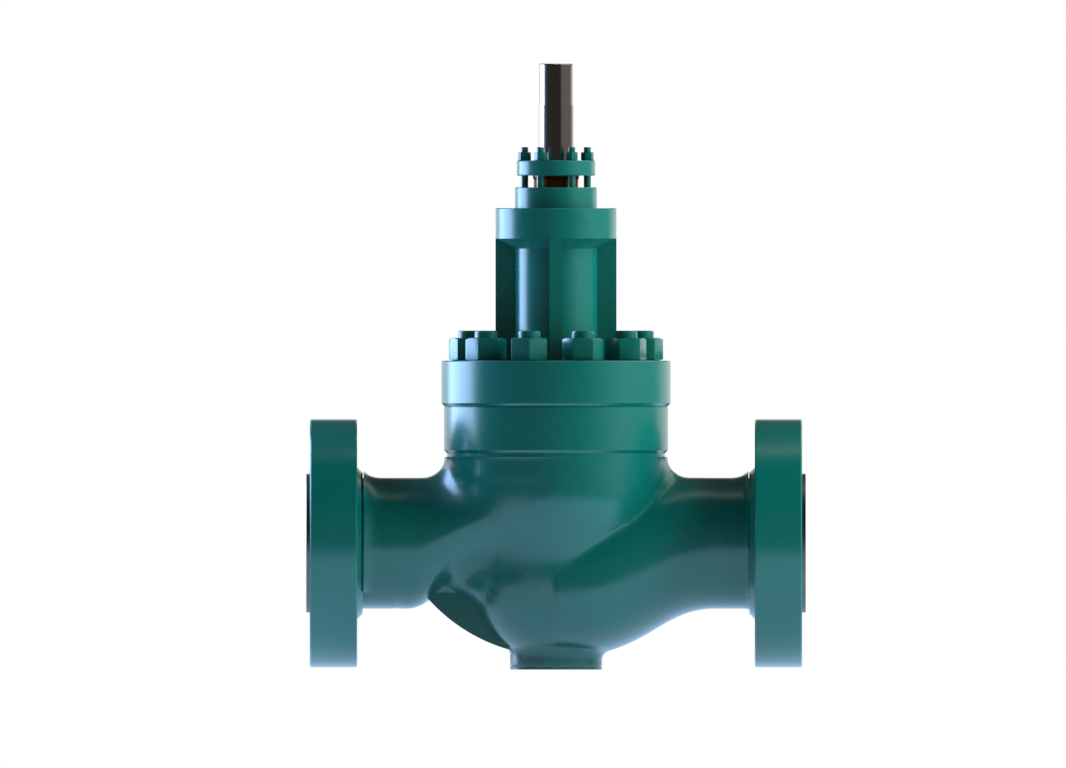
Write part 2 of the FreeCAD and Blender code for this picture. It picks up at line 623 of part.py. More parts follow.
barrel_and_bowl = turned("barrel_and_bowl", [
    (None, None),
    ("boss_radius", None),
    ("boss_radius", "boss_top"),
    ("bowl_radius", "bowl_height", "bowl_radius", 1),
    ("bowl_radius", "waist_height"),
    ("s_mid_radius", "s_mid_height", "s_radius", -1),
    ("barrel_radius", "shoulder_height", "s_radius", 1),
    ("barrel_radius", "neck_bevel_base"),
    ("neck_flange_radius", "neck_flange_base"),
    ("neck_flange_radius", "joint_rim_height"),
    ("joint_rim_radius", "joint_height"),
    (None, "joint_height"),
])
hole_circle(barrel_and_bowl, "stud_taps", "bonnet_stud_circle", "bonnet_tap_radius",
            "bonnet_tap_base", "joint_height", "bonnet_stud_count")


def end_connection(name, hole_radius, way):
    """End flange with its raised face, collar and bolt holes, along the X axis."""
    end = turned(name, [
        (None, "tube_end"),
        ("pipe_radius", "tube_end"),
        ("pipe_radius", "collar_end"),
        ("collar_small_radius", "collar_end"),
        ("collar_radius", "flange_back"),
        ("rim_radius", "flange_back"),
        ("flange_radius", "rim_back"),
        ("flange_radius", "rim_front"),
        ("rim_radius", "flange_front"),
        ("raised_face_radius", "flange_front"),
        ("raised_face_radius", "port_face"),
        (None, "port_face"),
    ])
    hole_circle(end, name + "_holes", "flange_hole_circle", hole_radius,
                "flange_back", "flange_front", "flange_hole_count", "180 / flange_hole_count")
    end.Placement = FreeCAD.Placement(
        FreeCAD.Vector(), FreeCAD.Rotation(FreeCAD.Vector(0, 1, 0), 90 * way))
    return bind(end, **{"Placement.Base.z": "port_height"})


def web():
    """Flat web under the inlet tube: an arc below, and its other edges inside the tube and bowl."""
    piece = document.addObject("Part::Feature", "web")
    centre = FreeCAD.Vector(0, -value("web_thickness") / 2, value("port_height") + value("web_arc_rise"))
    lower = [centre - value("web_arc_radius")
             * FreeCAD.Vector(math.sin(math.radians(angle)), 0, math.cos(math.radians(angle)))
             for angle in WEB_ARC]
    upper = [FreeCAD.Vector(end.x, centre.y, value("port_height")) for end in (lower[2], lower[0])]
    outline = Part.Wire([
        Part.Arc(*lower).toShape(),
        Part.makeLine(lower[2], upper[0]),
        Part.makeLine(upper[0], upper[1]),
        Part.makeLine(upper[1], lower[0]),
    ])
    piece.Shape = Part.Face(outline).extrude(FreeCAD.Vector(0, value("web_thickness"), 0))
    return piece


body_outside = joined("body_outside", [
    barrel_and_bowl, inlet_tube, outlet_tube, horn, web(),
    end_connection("inlet_end", "inlet_hole_radius", -1),
    end_connection("outlet_end", "outlet_hole_radius", 1)])

# Body casting, inside

wall = value("body_wall")
port_section = Section(straight, value("port_height"), *(value("port_radius"),) * 3)
port_sections = [port_section, port_section._replace(distance=value("tube_end"))]
inlet_passage = tube("inlet_passage", [
    section._replace(half_width=section.half_width - wall, rise=section.rise - wall,
                     drop=section.drop - wall)
    for section in inlet_sections[:len(INLET_SECTIONS)]
] + port_sections, -1)


def outlet_passage_section(outside, roof):
    """Section that keeps the wall at the sides and below, and has a roof of its own."""
    floor = outside.height - outside.drop + wall
    middle = (floor + roof) / 2
    return Section(outside.distance, middle, outside.half_width - wall, roof - middle, middle - floor)


outlet_passage = tube("outlet_passage", [
    outlet_passage_section(outside, value("port_height") + row[-1])
    for outside, row in zip(outlet_sections, scaled(OUTLET_SECTIONS))
] + port_sections, 1)

gallery_and_chamber = turned("gallery_and_chamber", [
    (None, "chamber_floor"),
    ("chamber_radius", "bowl_height", "chamber_radius", 1),
    ("chamber_roof_radius", "bridge_bottom", "chamber_radius", 1),
    ("seat_passage_radius", "bridge_bottom"),
    ("seat_passage_radius", "seat_shoulder_height"),
    ("seat_recess_radius", "seat_shoulder_height"),
    ("seat_recess_radius", "bridge_top"),
    ("gallery_floor_radius", "bridge_top"),
    ("gallery_radius", "shoulder_height"),
    ("gallery_radius", "gallery_top"),
    ("neck_bore_radius", "gallery_top"),
    ("neck_bore_radius", "joint_height"),
    (None, "joint_height"),
])


def port_bore(name, way):
    """Straight bore through an end flange."""
    bore = cylinder(name, "port_radius", "port_height", "port_face - tube_end")
    bore.Placement = FreeCAD.Placement(
        FreeCAD.Vector(), FreeCAD.Rotation(FreeCAD.Vector(0, 1, 0), 90 * way))
    return bind(bore, **{"Placement.Base.x": "%d * tube_end" % way, "Placement.Base.z": "port_height"})


hollows = joined("hollows", [
    gallery_and_chamber, inlet_passage, outlet_passage,
    port_bore("inlet_bore", -1), port_bore("outlet_bore", 1)])
node("body_casting", cut("body_rest", body_outside, hollows))

# Seat, cage and plug

node("seat_gasket", turned("seat_gasket_turning", ring_outline(
    "seat_passage_radius", "seat_ring_radius", "seat_shoulder_height", "seat_base")))
node("seat_ring", turned("seat_ring_turning", [
    ("seat_port_radius", "seat_base"),
    ("seat_ring_radius", "seat_base"),
    ("seat_ring_radius", "seat_top"),
    ("seat_cone_radius", "seat_top"),
    ("seat_port_radius", "seat_cone_base"),
]))
cage_turning = turned("cage_turning", [
    ("cage_bore_radius", "seat_top"),
    ("cage_radius", "seat_top"),
    ("cage_radius", "cage_flange_base"),
    ("cage_flange_radius", "cage_flange_base"),
    ("cage_flange_radius", "cage_top"),
    ("cage_bore_radius", "cage_top"),
])


def window_block(name, length, width):
    """Block that cuts a pair of facing windows."""
    block = bind(document.addObject("Part::Box", name), Length=length, Width=width, Height="cage_window_height")
    return bind(block, **{"Placement.Base.x": "-(%s) / 2" % length, "Placement.Base.y": "-(%s) / 2" % width,
                          "Placement.Base.z": "window_base"})


windows = joined("windows", [
    window_block("windows_across", "2 * cage_radius", "cage_window_width"),
    window_block("windows_along", "cage_window_width", "2 * cage_radius")])
node("cage", cut("cage_rest", cage_turning, windows))
node("bonnet_gasket", turned("bonnet_gasket_turning", ring_outline(
    "cage_gasket_radius", "cage_flange_radius", "cage_top", "spigot_base")))

plug_turning = turned("plug_turning", [
    (None, "plug_base"),
    ("plug_base_radius", "plug_base"),
    ("plug_radius", "plug_cone_top"),
    ("plug_radius", "lower_groove_base"),
    ("groove_radius", "lower_groove_base"),
    ("groove_radius", "lower_groove_top"),
    ("plug_radius", "lower_groove_top"),
    ("plug_radius", "upper_groove_base"),
    ("groove_radius", "upper_groove_base"),
    ("groove_radius", "upper_groove_top"),
    ("plug_radius", "upper_groove_top"),
    ("plug_radius", "plug_top"),
    ("plug_skirt_inside", "plug_top"),
    ("plug_skirt_inside", "plug_disc_top"),
    ("plug_hub_radius", "plug_disc_top"),
    ("plug_hub_radius", "plug_hub_top"),
    ("stem_radius", "plug_hub_top"),
    ("stem_radius", "plug_disc_top"),
    (None, "plug_disc_top"),
])
hole_circle(plug_turning, "plug_vents", "vent_circle", "plug_vent_radius",
            "plug_base", "plug_disc_top", "plug_vent_count", "45")


def cross_bar(name, radius, half_length):
    """Round bar along the X axis, at the height of the plug's pin."""
    bar = cylinder(name, radius, "pin_place", "2 * (%s)" % half_length)
    bar.Placement = FreeCAD.Placement(FreeCAD.Vector(), FreeCAD.Rotation(FreeCAD.Vector(0, 1, 0), 90))
    return bind(bar, **{"Placement.Base.x": "-(%s)" % half_length, "Placement.Base.z": "pin_place"})


pin_hole = cross_bar("pin_hole", "pin_hole_radius", "plug_hub_radius + fixed_gap")
node("plug", cut("plug_rest", plug_turning, pin_hole))
node("plug_pin", cross_bar("pin_bar", "pin_radius", "pin_half_length"))
for place in ("upper", "lower"):
    node(place + "_piston_ring", turned(place + "_piston_ring_turning", ring_outline(
        "piston_ring_inside", "piston_ring_outside", place + "_ring_base", place + "_ring_top")))

stem_turning = turned("stem_turning", [
    (None, "plug_disc_top"),
    ("stem_radius", "plug_disc_top"),
    ("stem_radius", "stem_step"),
    ("stem_end_radius", "stem_step"),
    ("stem_end_radius", "stem_bevel_base"),
    ("stem_tip_radius", "stem_top"),
    (None, "stem_top"),
])
node("stem", cut("stem_rest", stem_turning, pin_hole))

# Bonnet

bonnet_body = turned("bonnet_turning", [
    ("bushing_seat_radius", "spigot_base"),
    ("spigot_radius", "spigot_base"),
    ("spigot_radius", "joint_height"),
    ("bonnet_bevel_radius", "joint_height"),
    ("bonnet_flange_radius", "bonnet_bevel_top"),
    ("bonnet_flange_radius", "bonnet_rim_height"),
    ("bonnet_rim_radius", "bonnet_flange_top"),
    ("column_radius", "bonnet_flange_top"),
    ("column_radius", "pad_cone_base"),
    ("pad_radius", "pad_base"),
    ("pad_radius", "pad_rim_height"),
    ("pad_rim_radius", "pad_top"),
    ("hub_radius", "pad_top"),
    ("hub_radius", "hub_rim_height"),
    ("hub_rim_radius", "hub_top"),
    ("box_radius", "hub_top"),
    ("box_radius", "box_floor"),
    ("bonnet_bore_radius", "box_floor"),
    ("bonnet_bore_radius", "bushing_top"),
    ("bushing_seat_radius", "bushing_top"),
])


def add_ribs(body):
    """Four upright ribs around the column, flush with the mounting pad."""
    sketch = body.newObject("Sketcher::SketchObject", "rib_outline")
    sketch.AttachmentSupport = (origin_item(body, "XY_Plane"), "")
    sketch.MapMode = "FlatFace"
    bind(sketch, **{"AttachmentOffset.Base.z": "bonnet_flange_top"})
    corners = [(value(across), side * value("rib_thickness") / 2)
               for across, side in (("rib_root_radius", -1), ("pad_radius", -1),
                                    ("pad_radius", 1), ("rib_root_radius", 1))]
    points = [FreeCAD.Vector(x, y, 0) for x, y in corners]
    for start, end in zip(points, points[1:] + points[:1]):
        sketch.addGeometry(Part.LineSegment(start, end), False)
    for edge in range(4):
        sketch.addConstraint(Sketcher.Constraint("Coincident", edge, 2, (edge + 1) % 4, 1))
        sketch.addConstraint(Sketcher.Constraint("Vertical" if edge % 2 else "Horizontal", edge))
    for edge, name in ((0, "rib_root_radius"), (1, "pad_radius")):
        held = sketch.addConstraint(Sketcher.Constraint("DistanceX", -1, 1, edge, 1, value(name)))
        sketch.setExpression("Constraints[%d]" % held, in_sheets(name))
    for start, share in (((1, 1), 1), ((-1, 1), 2)):
        held = sketch.addConstraint(
            Sketcher.Constraint("DistanceY", *start, 1, 2, value("rib_thickness") / share))
        sketch.setExpression("Constraints[%d]" % held, in_sheets("rib_thickness / %d" % share))
    document.recompute()
    rib = body.newObject("PartDesign::Pad", "rib")
    rib.Profile = sketch
    bind(rib, Length="column_length")
    document.recompute()
    pattern = body.newObject("PartDesign::PolarPattern", "ribs")
    pattern.Originals = [rib]
    pattern.Axis = (origin_item(body, "Z_Axis"), [""])
    pattern.Angle = 360
    pattern.Occurrences = 4
    body.Tip = pattern


add_ribs(bonnet_body)
hole_circle(bonnet_body, "bonnet_stud_holes", "bonnet_stud_circle", "bonnet_hole_radius",
            "joint_height", "bonnet_flange_top", "bonnet_stud_count")
hole_circle(bonnet_body, "yoke_taps", "yoke_hole_circle", "yoke_hole_radius",
            "pad_top - yoke_hole_depth", "pad_top", "yoke_hole_count", "180 / yoke_hole_count")
hole_circle(bonnet_body, "gland_taps", "gland_stud_circle", "gland_tap_radius",
            "gland_tap_base", "hub_top", "gland_stud_count")
node("bonnet", bonnet_body)
node("guide_bushing", turned("guide_bushing_turning", ring_outline(
    "guide_radius", "bushing_radius", "spigot_base", "bushing_top")))

# Packing box

node("box_ring", turned("box_ring_turning", ring_outline(
    "loose_bore_radius", "packing_radius", "box_floor", "box_ring_top")))


def packing_rings(name, floor, copies):
    """Stack of square packing rings."""
    rings = []
    for index in range(copies):
        base = "%s + %d * packing_ring_height" % (floor, index)
        blank = cylinder("%s_blank_%d" % (name, index + 1), "packing_radius", base, "packing_ring_height")
        bore = cylinder("%s_bore_%d" % (name, index + 1), "guide_radius", base, "packing_ring_height")
        rings.append(cut("%s_ring_%d" % (name, index + 1), blank, bore))
    return rings


for index, ring in enumerate(packing_rings("lower_packing", "box_ring_top", count("lower_packing_count"))):
    node("lower_packing_ring_%d" % (index + 1), ring)
upper_packing = document.addObject("Part::Compound", "upper_packing_stack")
upper_packing.Links = packing_rings("upper_packing", "lantern_top", count("upper_packing_count"))
node("upper_packing_rings", upper_packing)

lantern_turning = turned("lantern_turning", [
    ("loose_bore_radius", "lower_packing_top"),
    ("packing_radius", "lower_packing_top"),
    ("packing_radius", "lantern_web_base"),
    ("lantern_outer_waist", "lantern_web_base"),
    ("lantern_outer_waist", "lantern_web_top"),
    ("packing_radius", "lantern_web_top"),
    ("packing_radius", "lantern_top"),
    ("loose_bore_radius", "lantern_top"),
    ("loose_bore_radius", "lantern_web_top"),
    ("lantern_inner_waist", "lantern_web_top"),
    ("lantern_inner_waist", "lantern_web_base"),
    ("loose_bore_radius", "lantern_web_base"),
])


def lantern_hole(name, axis):
    """Hole across the lantern ring."""
    bar = cylinder(name, "lantern_hole_radius", "lantern_middle", "2 * packing_radius")
    bar.Placement = FreeCAD.Placement(FreeCAD.Vector(), FreeCAD.Rotation(FreeCAD.Vector(0, 0, 1), axis))
    return bind(bar, **{"Placement.Base.z": "lantern_middle"})


lantern_holes = joined("lantern_holes", [
    lantern_hole("lantern_hole_along", FreeCAD.Vector(1, 0, 0)),
    lantern_hole("lantern_hole_across", FreeCAD.Vector(0, 1, 0))])
node("lantern_ring", cut("lantern_rest", lantern_turning, lantern_holes))

# Gland

node("packing_follower", turned("follower_turning", [
    ("loose_bore_radius", "upper_packing_top"),
    ("follower_radius", "upper_packing_top"),
    ("follower_radius", "lip_base"),
    ("follower_lip_radius", "lip_taper_top"),
    ("follower_lip_radius", "gland_base"),
    ("loose_bore_radius", "gland_base"),
]))
gland_turning = turned("gland_turning", [
    ("gland_bore_radius", "gland_base"),
    ("gland_rim_radius", "gland_base"),
    ("gland_flange_radius", "gland_rim_base"),
    ("gland_flange_radius", "gland_rim_top"),
    ("gland_rim_radius", "gland_top"),
    ("wiper_seat_radius", "gland_top"),
    ("wiper_seat_radius", "wiper_base"),
    ("gland_bore_radius", "wiper_base"),
])
hole_circle(gland_turning, "gland_holes", "gland_stud_circle", "gland_hole_radius",
            "gland_base", "gland_top", "gland_stud_count")
node("gland_flange", gland_turning)
node("stem_wiper", turned("stem_wiper_turning", ring_outline(
    "guide_radius", "wiper_radius", "wiper_base", "gland_top")))

# Studs and nuts


def stud(kind):
    """Stud with a bevelled tip, on the Z axis."""
    return turned(kind + "_stud_turning", [
        (None, kind + "_stud_base"),
        (kind + "_stud_radius", kind + "_stud_base"),
        (kind + "_stud_radius", kind + "_stud_bevel_base"),
        (kind + "_stud_tip_radius", kind + "_stud_top"),
        (None, kind + "_stud_top"),
    ])


def nut(kind, seat):
    """Hexagonal nut with a turned bevel at its top, on the Z axis and lying on its seat."""
    flats, height, bevel = (kind + end for end in ("_nut_flats", "_nut_height", "_nut_bevel"))
    prism = document.addObject("Part::Prism", kind + "_nut_prism")
    prism.Polygon = 6
    corner = "%s / sqrt(3)" % flats
    bind(prism, Circumradius=corner, Height=height, **{"Placement.Base.z": seat})
    turning = document.addObject("Part::Cone", kind + "_nut_cone")
    spread = "(%s) * 2" % height
    bind(turning, Radius1="%s / 2 + (%s) * sqrt(3)" % (flats, height),
         Radius2="%s / 2 - (%s)" % (flats, bevel), Height="%s + %s / sqrt(3)" % (height, bevel),
         **{"Placement.Base.z": seat})
    hexagon = document.addObject("Part::Common", kind + "_nut_hexagon")
    hexagon.Base = prism
    hexagon.Tool = turning
    bore = cylinder(kind + "_nut_hole", kind + "_nut_bore", seat, height)
    return cut(kind + "_nut_rest", hexagon, bore)


def set_out(kind, piece, name, turns):
    """Copies of a stud or a nut on its circle, each a node of its own."""
    copies = kind + "_stud_count"
    for index in range(count(copies)):
        copy = document.addObject("Part::Compound", "%s_%s_copy_%d" % (kind, name, index + 1))
        copy.Links = [piece]
        set_on_circle(copy, kind + "_stud_circle", copies, index, turn=str(turns[index % len(turns)]))
        node("%s_%s_%d" % (kind, name, index + 1), copy)


set_out("bonnet", stud("bonnet"), "stud", (0,))
set_out("bonnet", nut("bonnet", "bonnet_flange_top"), "nut", BONNET_NUT_TURNS)
set_out("gland", stud("gland"), "stud", (0,))
set_out("gland", nut("gland", "gland_top"), "nut", GLAND_NUT_TURNS)

document.recompute()
for thing in document.Objects:
    if "Invalid" in thing.State or "Error" in thing.State:
        raise RuntimeError("%s did not compute" % thing.Name)
for name, piece in NODES.items():
    if piece.Shape.isNull() or not piece.Shape.isValid() or not piece.Shape.Solids:
        raise RuntimeError("%s has no valid solid" % name)

os.makedirs("parts", exist_ok=True)
for name, piece in NODES.items():
    piece.Shape.exportStep("parts/%s.step" % name)
    print(name, len(piece.Shape.Solids), round(piece.Shape.Volume / 1000.0, 1), "cm3")
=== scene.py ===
"""Looks of a globe control valve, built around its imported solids.

Everything is in metres in the frame of the solids: the origin is under the middle of the bottom boss,
+Z runs up along the stem and +X along the flow.
"""

import json
import logging
import math
from collections.abc import Callable, Iterable
from dataclasses import dataclass, field
from enum import Enum

import bmesh
import bpy
import numpy as np
import openvdb
from mathutils import Matrix, Vector

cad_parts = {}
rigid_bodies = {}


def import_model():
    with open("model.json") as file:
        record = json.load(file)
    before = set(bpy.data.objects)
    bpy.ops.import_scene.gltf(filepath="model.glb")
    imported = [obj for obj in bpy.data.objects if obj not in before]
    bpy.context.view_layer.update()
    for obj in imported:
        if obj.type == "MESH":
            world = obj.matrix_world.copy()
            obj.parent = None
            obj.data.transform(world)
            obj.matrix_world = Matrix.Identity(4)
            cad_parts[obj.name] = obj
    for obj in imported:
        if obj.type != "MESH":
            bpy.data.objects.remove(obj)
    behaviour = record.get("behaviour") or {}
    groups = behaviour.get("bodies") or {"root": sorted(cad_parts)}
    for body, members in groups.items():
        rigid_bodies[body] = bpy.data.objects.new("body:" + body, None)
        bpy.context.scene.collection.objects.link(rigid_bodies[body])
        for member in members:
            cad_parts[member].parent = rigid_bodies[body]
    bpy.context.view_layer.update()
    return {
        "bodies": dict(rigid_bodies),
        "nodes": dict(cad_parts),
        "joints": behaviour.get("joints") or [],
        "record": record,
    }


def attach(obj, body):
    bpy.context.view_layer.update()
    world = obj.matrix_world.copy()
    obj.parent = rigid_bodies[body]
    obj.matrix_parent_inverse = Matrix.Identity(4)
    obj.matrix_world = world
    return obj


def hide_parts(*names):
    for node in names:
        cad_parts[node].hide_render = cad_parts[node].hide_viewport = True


logging.basicConfig(level=logging.INFO, format="%(message)s")
LOG = logging.getLogger("valve")

MM = 0.001
PORT_HEIGHT = 0.246
CIRCLE_STEPS = 160
MERGE_DISTANCE = 1e-6
SEAM_DISTANCE = 1e-4
# Edges sharper than these angles in degrees stay sharp.
PIECE_EDGE = 32.0
FASTENER_EDGE = 28.0
# Start and end of something along a line, in metres.
Span = tuple[float, float]


class Boolean(Enum):
    """Ways to combine two closed meshes."""

    UNION = "UNION"
    LESS = "DIFFERENCE"
    COMMON = "INTERSECT"


# Colours and node trees


def linear(code: str) -> tuple[float, float, float, float]:
    """Turn an sRGB hex colour into the linear values that a shader takes.

    Args:
        code: Colour such as "#0f7468".

    Returns:
        Red, green, blue and an alpha of 1.
    """
    parts = [int(code[place:place + 2], 16) / 255 for place in (1, 3, 5)]
    red, green, blue = (part / 12.92 if part <= 0.04045 else ((part + 0.055) / 1.055) ** 2.4
                        for part in parts)
    return red, green, blue, 1.0


def add(tree: bpy.types.NodeTree, kind: str, settings: dict | None = None,
        **inputs: object) -> bpy.types.Node:
    """Add one node with its settings and links.

    Args:
        tree: Tree that gets the node.
        kind: Blender's name for the node.
        settings: Attributes of the node.
        inputs: Value or linked socket for each input, by its name with _ for each space, or by i0, i1
            and so on for the first, second and later input.

    Returns:
        The new node.
    """
    node = tree.nodes.new(kind)
    for name, value in (settings or {}).items():
        setattr(node, name, value)
    for name, value in inputs.items():
        numbered = name[0] == "i" and name[1:].isdigit()
        socket = node.inputs[int(name[1:])] if numbered else node.inputs[name.replace("_", " ")]
        if isinstance(value, bpy.types.NodeSocket):
            tree.links.new(value, socket)
        else:
            socket.default_value = value
    return node


@dataclass(frozen=True)
class Grain:
    """One noise pattern of a finish, by its real size.

    Attributes:
        size_mm: Width of one fleck or wave across the pattern.
        depth_mm: Height of the bumps that it makes.
        stretch: Share of the pattern's frequency that is kept along X, Y and Z.
    """

    size_mm: float
    depth_mm: float = 0.0
    stretch: tuple[float, float, float] = (1.0, 1.0, 1.0)


@dataclass(frozen=True)
class Finish:
    """A surface finish, as the values of one Principled shader and its patterns.

    Attributes:
        name: Common name of the material and how its surface was made.
        colour: sRGB hex colour.
        second_colour: Colour that it drifts to in the hollows of the tint pattern.
        roughness: Lowest and highest roughness.
        metallic: 1 for bare metal.
        tint: Pattern of the colour's drift.
        relief: Patterns that show as bumps.
        coat: Weight and roughness of a clear gloss over the colour.
    """

    name: str
    colour: str
    second_colour: str
    roughness: tuple[float, float]
    metallic: float = 0.0
    tint: Grain = Grain(60.0)
    relief: tuple[Grain, ...] = ()
    coat: tuple[float, float] = (0.0, 0.03)

    def material(self) -> bpy.types.Material:
        """Build the material once, and return it again each later time."""
        made = bpy.data.materials.get(self.name)
        if made:
            return made
        made = bpy.data.materials.new(self.name)
        made.use_nodes = True
        tree = made.node_tree
        shader = tree.nodes["Principled BSDF"]
        shader.inputs["Metallic"].default_value = self.metallic
        shader.inputs["Coat Weight"].default_value = self.coat[0]
        shader.inputs["Coat Roughness"].default_value = self.coat[1]
        place = add(tree, "ShaderNodeTexCoord").outputs["Object"]
        drift = self._noise(tree, place, self.tint)
        colour = add(tree, "ShaderNodeMix", {"data_type": "RGBA"}, i0=drift,
                     i6=linear(self.colour), i7=linear(self.second_colour))
        tree.links.new(colour.outputs[2], shader.inputs["Base Color"])
        rough = add(tree, "ShaderNodeMapRange", None, Value=drift, From_Min=0.3, From_Max=0.7,
                    To_Min=self.roughness[0], To_Max=self.roughness[1])
        tree.links.new(rough.outputs[0], shader.inputs["Roughness"])
        normal = None
        for grain in self.relief:
            height = self._noise(tree, place, grain)
            bump = add(tree, "ShaderNodeBump", None, Strength=1.0, Distance=grain.depth_mm * MM,
                       Height=height)
            if normal:
                tree.links.new(normal, bump.inputs["Normal"])
            normal = bump.outputs[0]
        if normal:
            tree.links.new(normal, shader.inputs["Normal"])
        return made

    @staticmethod
    def _noise(tree: bpy.types.NodeTree, place: bpy.types.NodeSocket, grain: Grain) -> bpy.types.NodeSocket:
        """Noise whose flecks have the real size of a grain.

        Args:
            tree: Tree that gets the noise.
            place: Position that the noise is read at.
            grain: The grain.

        Returns:
            The noise's value.
        """
        per_metre = 1 / (grain.size_mm * MM)
        scaled = add(tree, "ShaderNodeMapping", {"vector_type": "POINT"}, Vector=place,
                     Scale=tuple(per_metre * share for share in grain.stretch))
        return add(tree, "ShaderNodeTexNoise", None, Vector=scaled.outputs[0], Scale=1.0, Detail=3.0,
                   Roughness=0.5).outputs[0]


# Two-pack enamel sprayed on sand-cast steel: semi-gloss, with a faint orange peel and the slow waves
# of the casting under it.
CAST_ENAMEL = Finish("enamel_sprayed_on_sand_cast_steel", "#046d60", "#03665a", (0.26, 0.31),
                     tint=Grain(90.0), relief=(Grain(26.0, 0.06), Grain(3.5, 0.008)), coat=(0.45, 0.22))
# The same enamel on turned flanges and forgings, which are flat under it.
TURNED_ENAMEL = Finish("enamel_sprayed_on_turned_steel", "#046d60", "#03695c", (0.26, 0.30),
                       tint=Grain(70.0), relief=(Grain(3.5, 0.006),), coat=(0.45, 0.22))
# Enamel on bolting, a little thicker in the corners.
BOLT_ENAMEL = Finish("enamel_brushed_on_forged_bolting", "#046a5d", "#035c51", (0.26, 0.32),
                     tint=Grain(9.0), relief=(Grain(5.0, 0.012),), coat=(0.45, 0.20))
# Turned carbon steel, left bare and oiled: brownish grey with rings of the tool.
MACHINED_STEEL = Finish("turned_carbon_steel_oiled", "#8f8078", "#7a6c66", (0.34, 0.46), metallic=1.0,
                        tint=Grain(14.0), relief=(Grain(1.2, 0.01),))
# Wall of the passages: cast steel with a thin primer, dull.
PRIMED_STEEL = Finish("primer_on_cast_steel", "#5f5c58", "#4b4946", (0.6, 0.75), tint=Grain(25.0),
                      relief=(Grain(9.0, 0.12), Grain(2.0, 0.03)))
# Stainless bar, turned and ground along its length: dark, with fine rings around it.
GROUND_STAINLESS = Finish("stainless_bar_turned_and_ground", "#b0aba4", "#a49e96", (0.19, 0.23), metallic=1.0,
                          tint=Grain(3.0, 0.0, (0.08, 0.08, 1.0)),
                          relief=(Grain(1.5, 0.0005, (0.05, 0.05, 1.0)),))
# Hardened stainless trim, turned.
TRIM_STAINLESS = Finish("stainless_trim_turned", "#a8a6a2", "#94918c", (0.24, 0.34), metallic=1.0,
                        tint=Grain(6.0, 0.0, (0.2, 0.2, 1.0)), relief=(Grain(1.0, 0.004, (0.1, 0.1, 1.0)),))
# Cast bronze, turned and slightly tarnished: orange brown.
TARNISHED_BRONZE = Finish("cast_bronze_turned_tarnished", "#9a5f2a", "#74441d", (0.28, 0.42), metallic=1.0,
                          tint=Grain(12.0), relief=(Grain(1.2, 0.006, (0.1, 0.1, 1.0)),))
# Braided and pressed graphite: near black with a dull sheen.
PRESSED_GRAPHITE = Finish("graphite_braid_pressed", "#2b2c2e", "#1c1d1f", (0.45, 0.6), tint=Grain(3.0),
                          relief=(Grain(2.2, 0.15),))
# Spiral wound gasket: thin steel strip and filler in rings.
WOUND_GASKET = Finish("steel_and_graphite_strip_wound", "#6d6e70", "#3d3e40", (0.4, 0.55), metallic=0.6,
                      tint=Grain(1.5), relief=(Grain(1.5, 0.05),))
# Moulded rubber of the stem wiper.
MOULDED_RUBBER = Finish("nitrile_rubber_moulded", "#1b1b1c", "#232324", (0.5, 0.62), tint=Grain(8.0),
                        relief=(Grain(1.0, 0.01),))


# Meshes


def new_object(name: str, mesh: bpy.types.Mesh) -> bpy.types.Object:
    """Object with a mesh, in the scene.

    Args:
        name: Name of the object.
        mesh: The mesh.

    Returns:
        The object.
    """
    thing = bpy.data.objects.new(name, mesh)
    bpy.context.scene.collection.objects.link(thing)
    return thing


def evaluated_mesh(thing: bpy.types.Object) -> bpy.types.Mesh:
    """Plain mesh of an object with its modifiers applied."""
    graph = bpy.context.evaluated_depsgraph_get()
    return bpy.data.meshes.new_from_object(thing.evaluated_get(graph))


def mesh_from(build: Callable[[bmesh.types.BMesh], None], name: str = "work") -> bpy.types.Mesh:
    """Mesh from a function that fills a bmesh.

    Args:
        build: Called with an empty bmesh.
        name: Name of the mesh.

    Returns:
        The mesh, with its faces pointing outwards.
    """
    work = bmesh.new()
    build(work)
    bmesh.ops.recalc_face_normals(work, faces=work.faces)
    mesh = bpy.data.meshes.new(name)
    work.to_mesh(mesh)
    work.free()
    return mesh


def merged_copy(node: bpy.types.Object) -> bpy.types.Mesh:
    """Copy of a node's loose triangles with their shared corners merged, and nothing else of its data.

    Args:
        node: The node's object.

    Returns:
        The copy.
    """
    work = bmesh.new()
    work.from_mesh(node.data)
    bmesh.ops.remove_doubles(work, verts=work.verts, dist=MERGE_DISTANCE)
    work.verts.index_update()
    mesh = bpy.data.meshes.new(node.name + "_merged")
    mesh.from_pydata([corner.co for corner in work.verts], [],
                     [[corner.index for corner in face.verts] for face in work.faces])
    work.free()
    return mesh


def block(low: Vector, high: Vector) -> bpy.types.Mesh:
    """Closed box between two corners.

    Args:
        low: Lowest corner.
        high: Highest corner.

    Returns:
        The box.
    """
    def build(work: bmesh.types.BMesh) -> None:
        """Fill a bmesh with the box."""
        bmesh.ops.create_cube(work, size=1.0)
        for corner in work.verts:
            corner.co = Vector(high[i] if corner.co[i] > 0 else low[i] for i in range(3))
    return mesh_from(build)


def combine(base: bpy.types.Mesh, tool: bpy.types.Mesh, how: Boolean) -> bpy.types.Mesh:
    """Combine two closed meshes.

    Args:
        base: Mesh that is worked on.
        tool: Mesh that is added, taken away or kept in common.
        how: Which of these.

    Returns:
        A new mesh.
    """
    first, second = new_object("first", base), new_object("second", tool)
    modifier = first.modifiers.new("combine", "BOOLEAN")
    modifier.operation = how.value
    modifier.solver = "MANIFOLD"
    modifier.object = second
    result = evaluated_mesh(first)
    for thing in (first, second):
        bpy.data.objects.remove(thing)
    return result


def shade(mesh: bpy.types.Mesh, angle: float = PIECE_EDGE) -> None:
    """Shade smooth, but keep edges sharper than an angle in degrees."""
    mesh.shade_smooth()
    mesh.set_sharp_from_angle(angle=math.radians(angle))


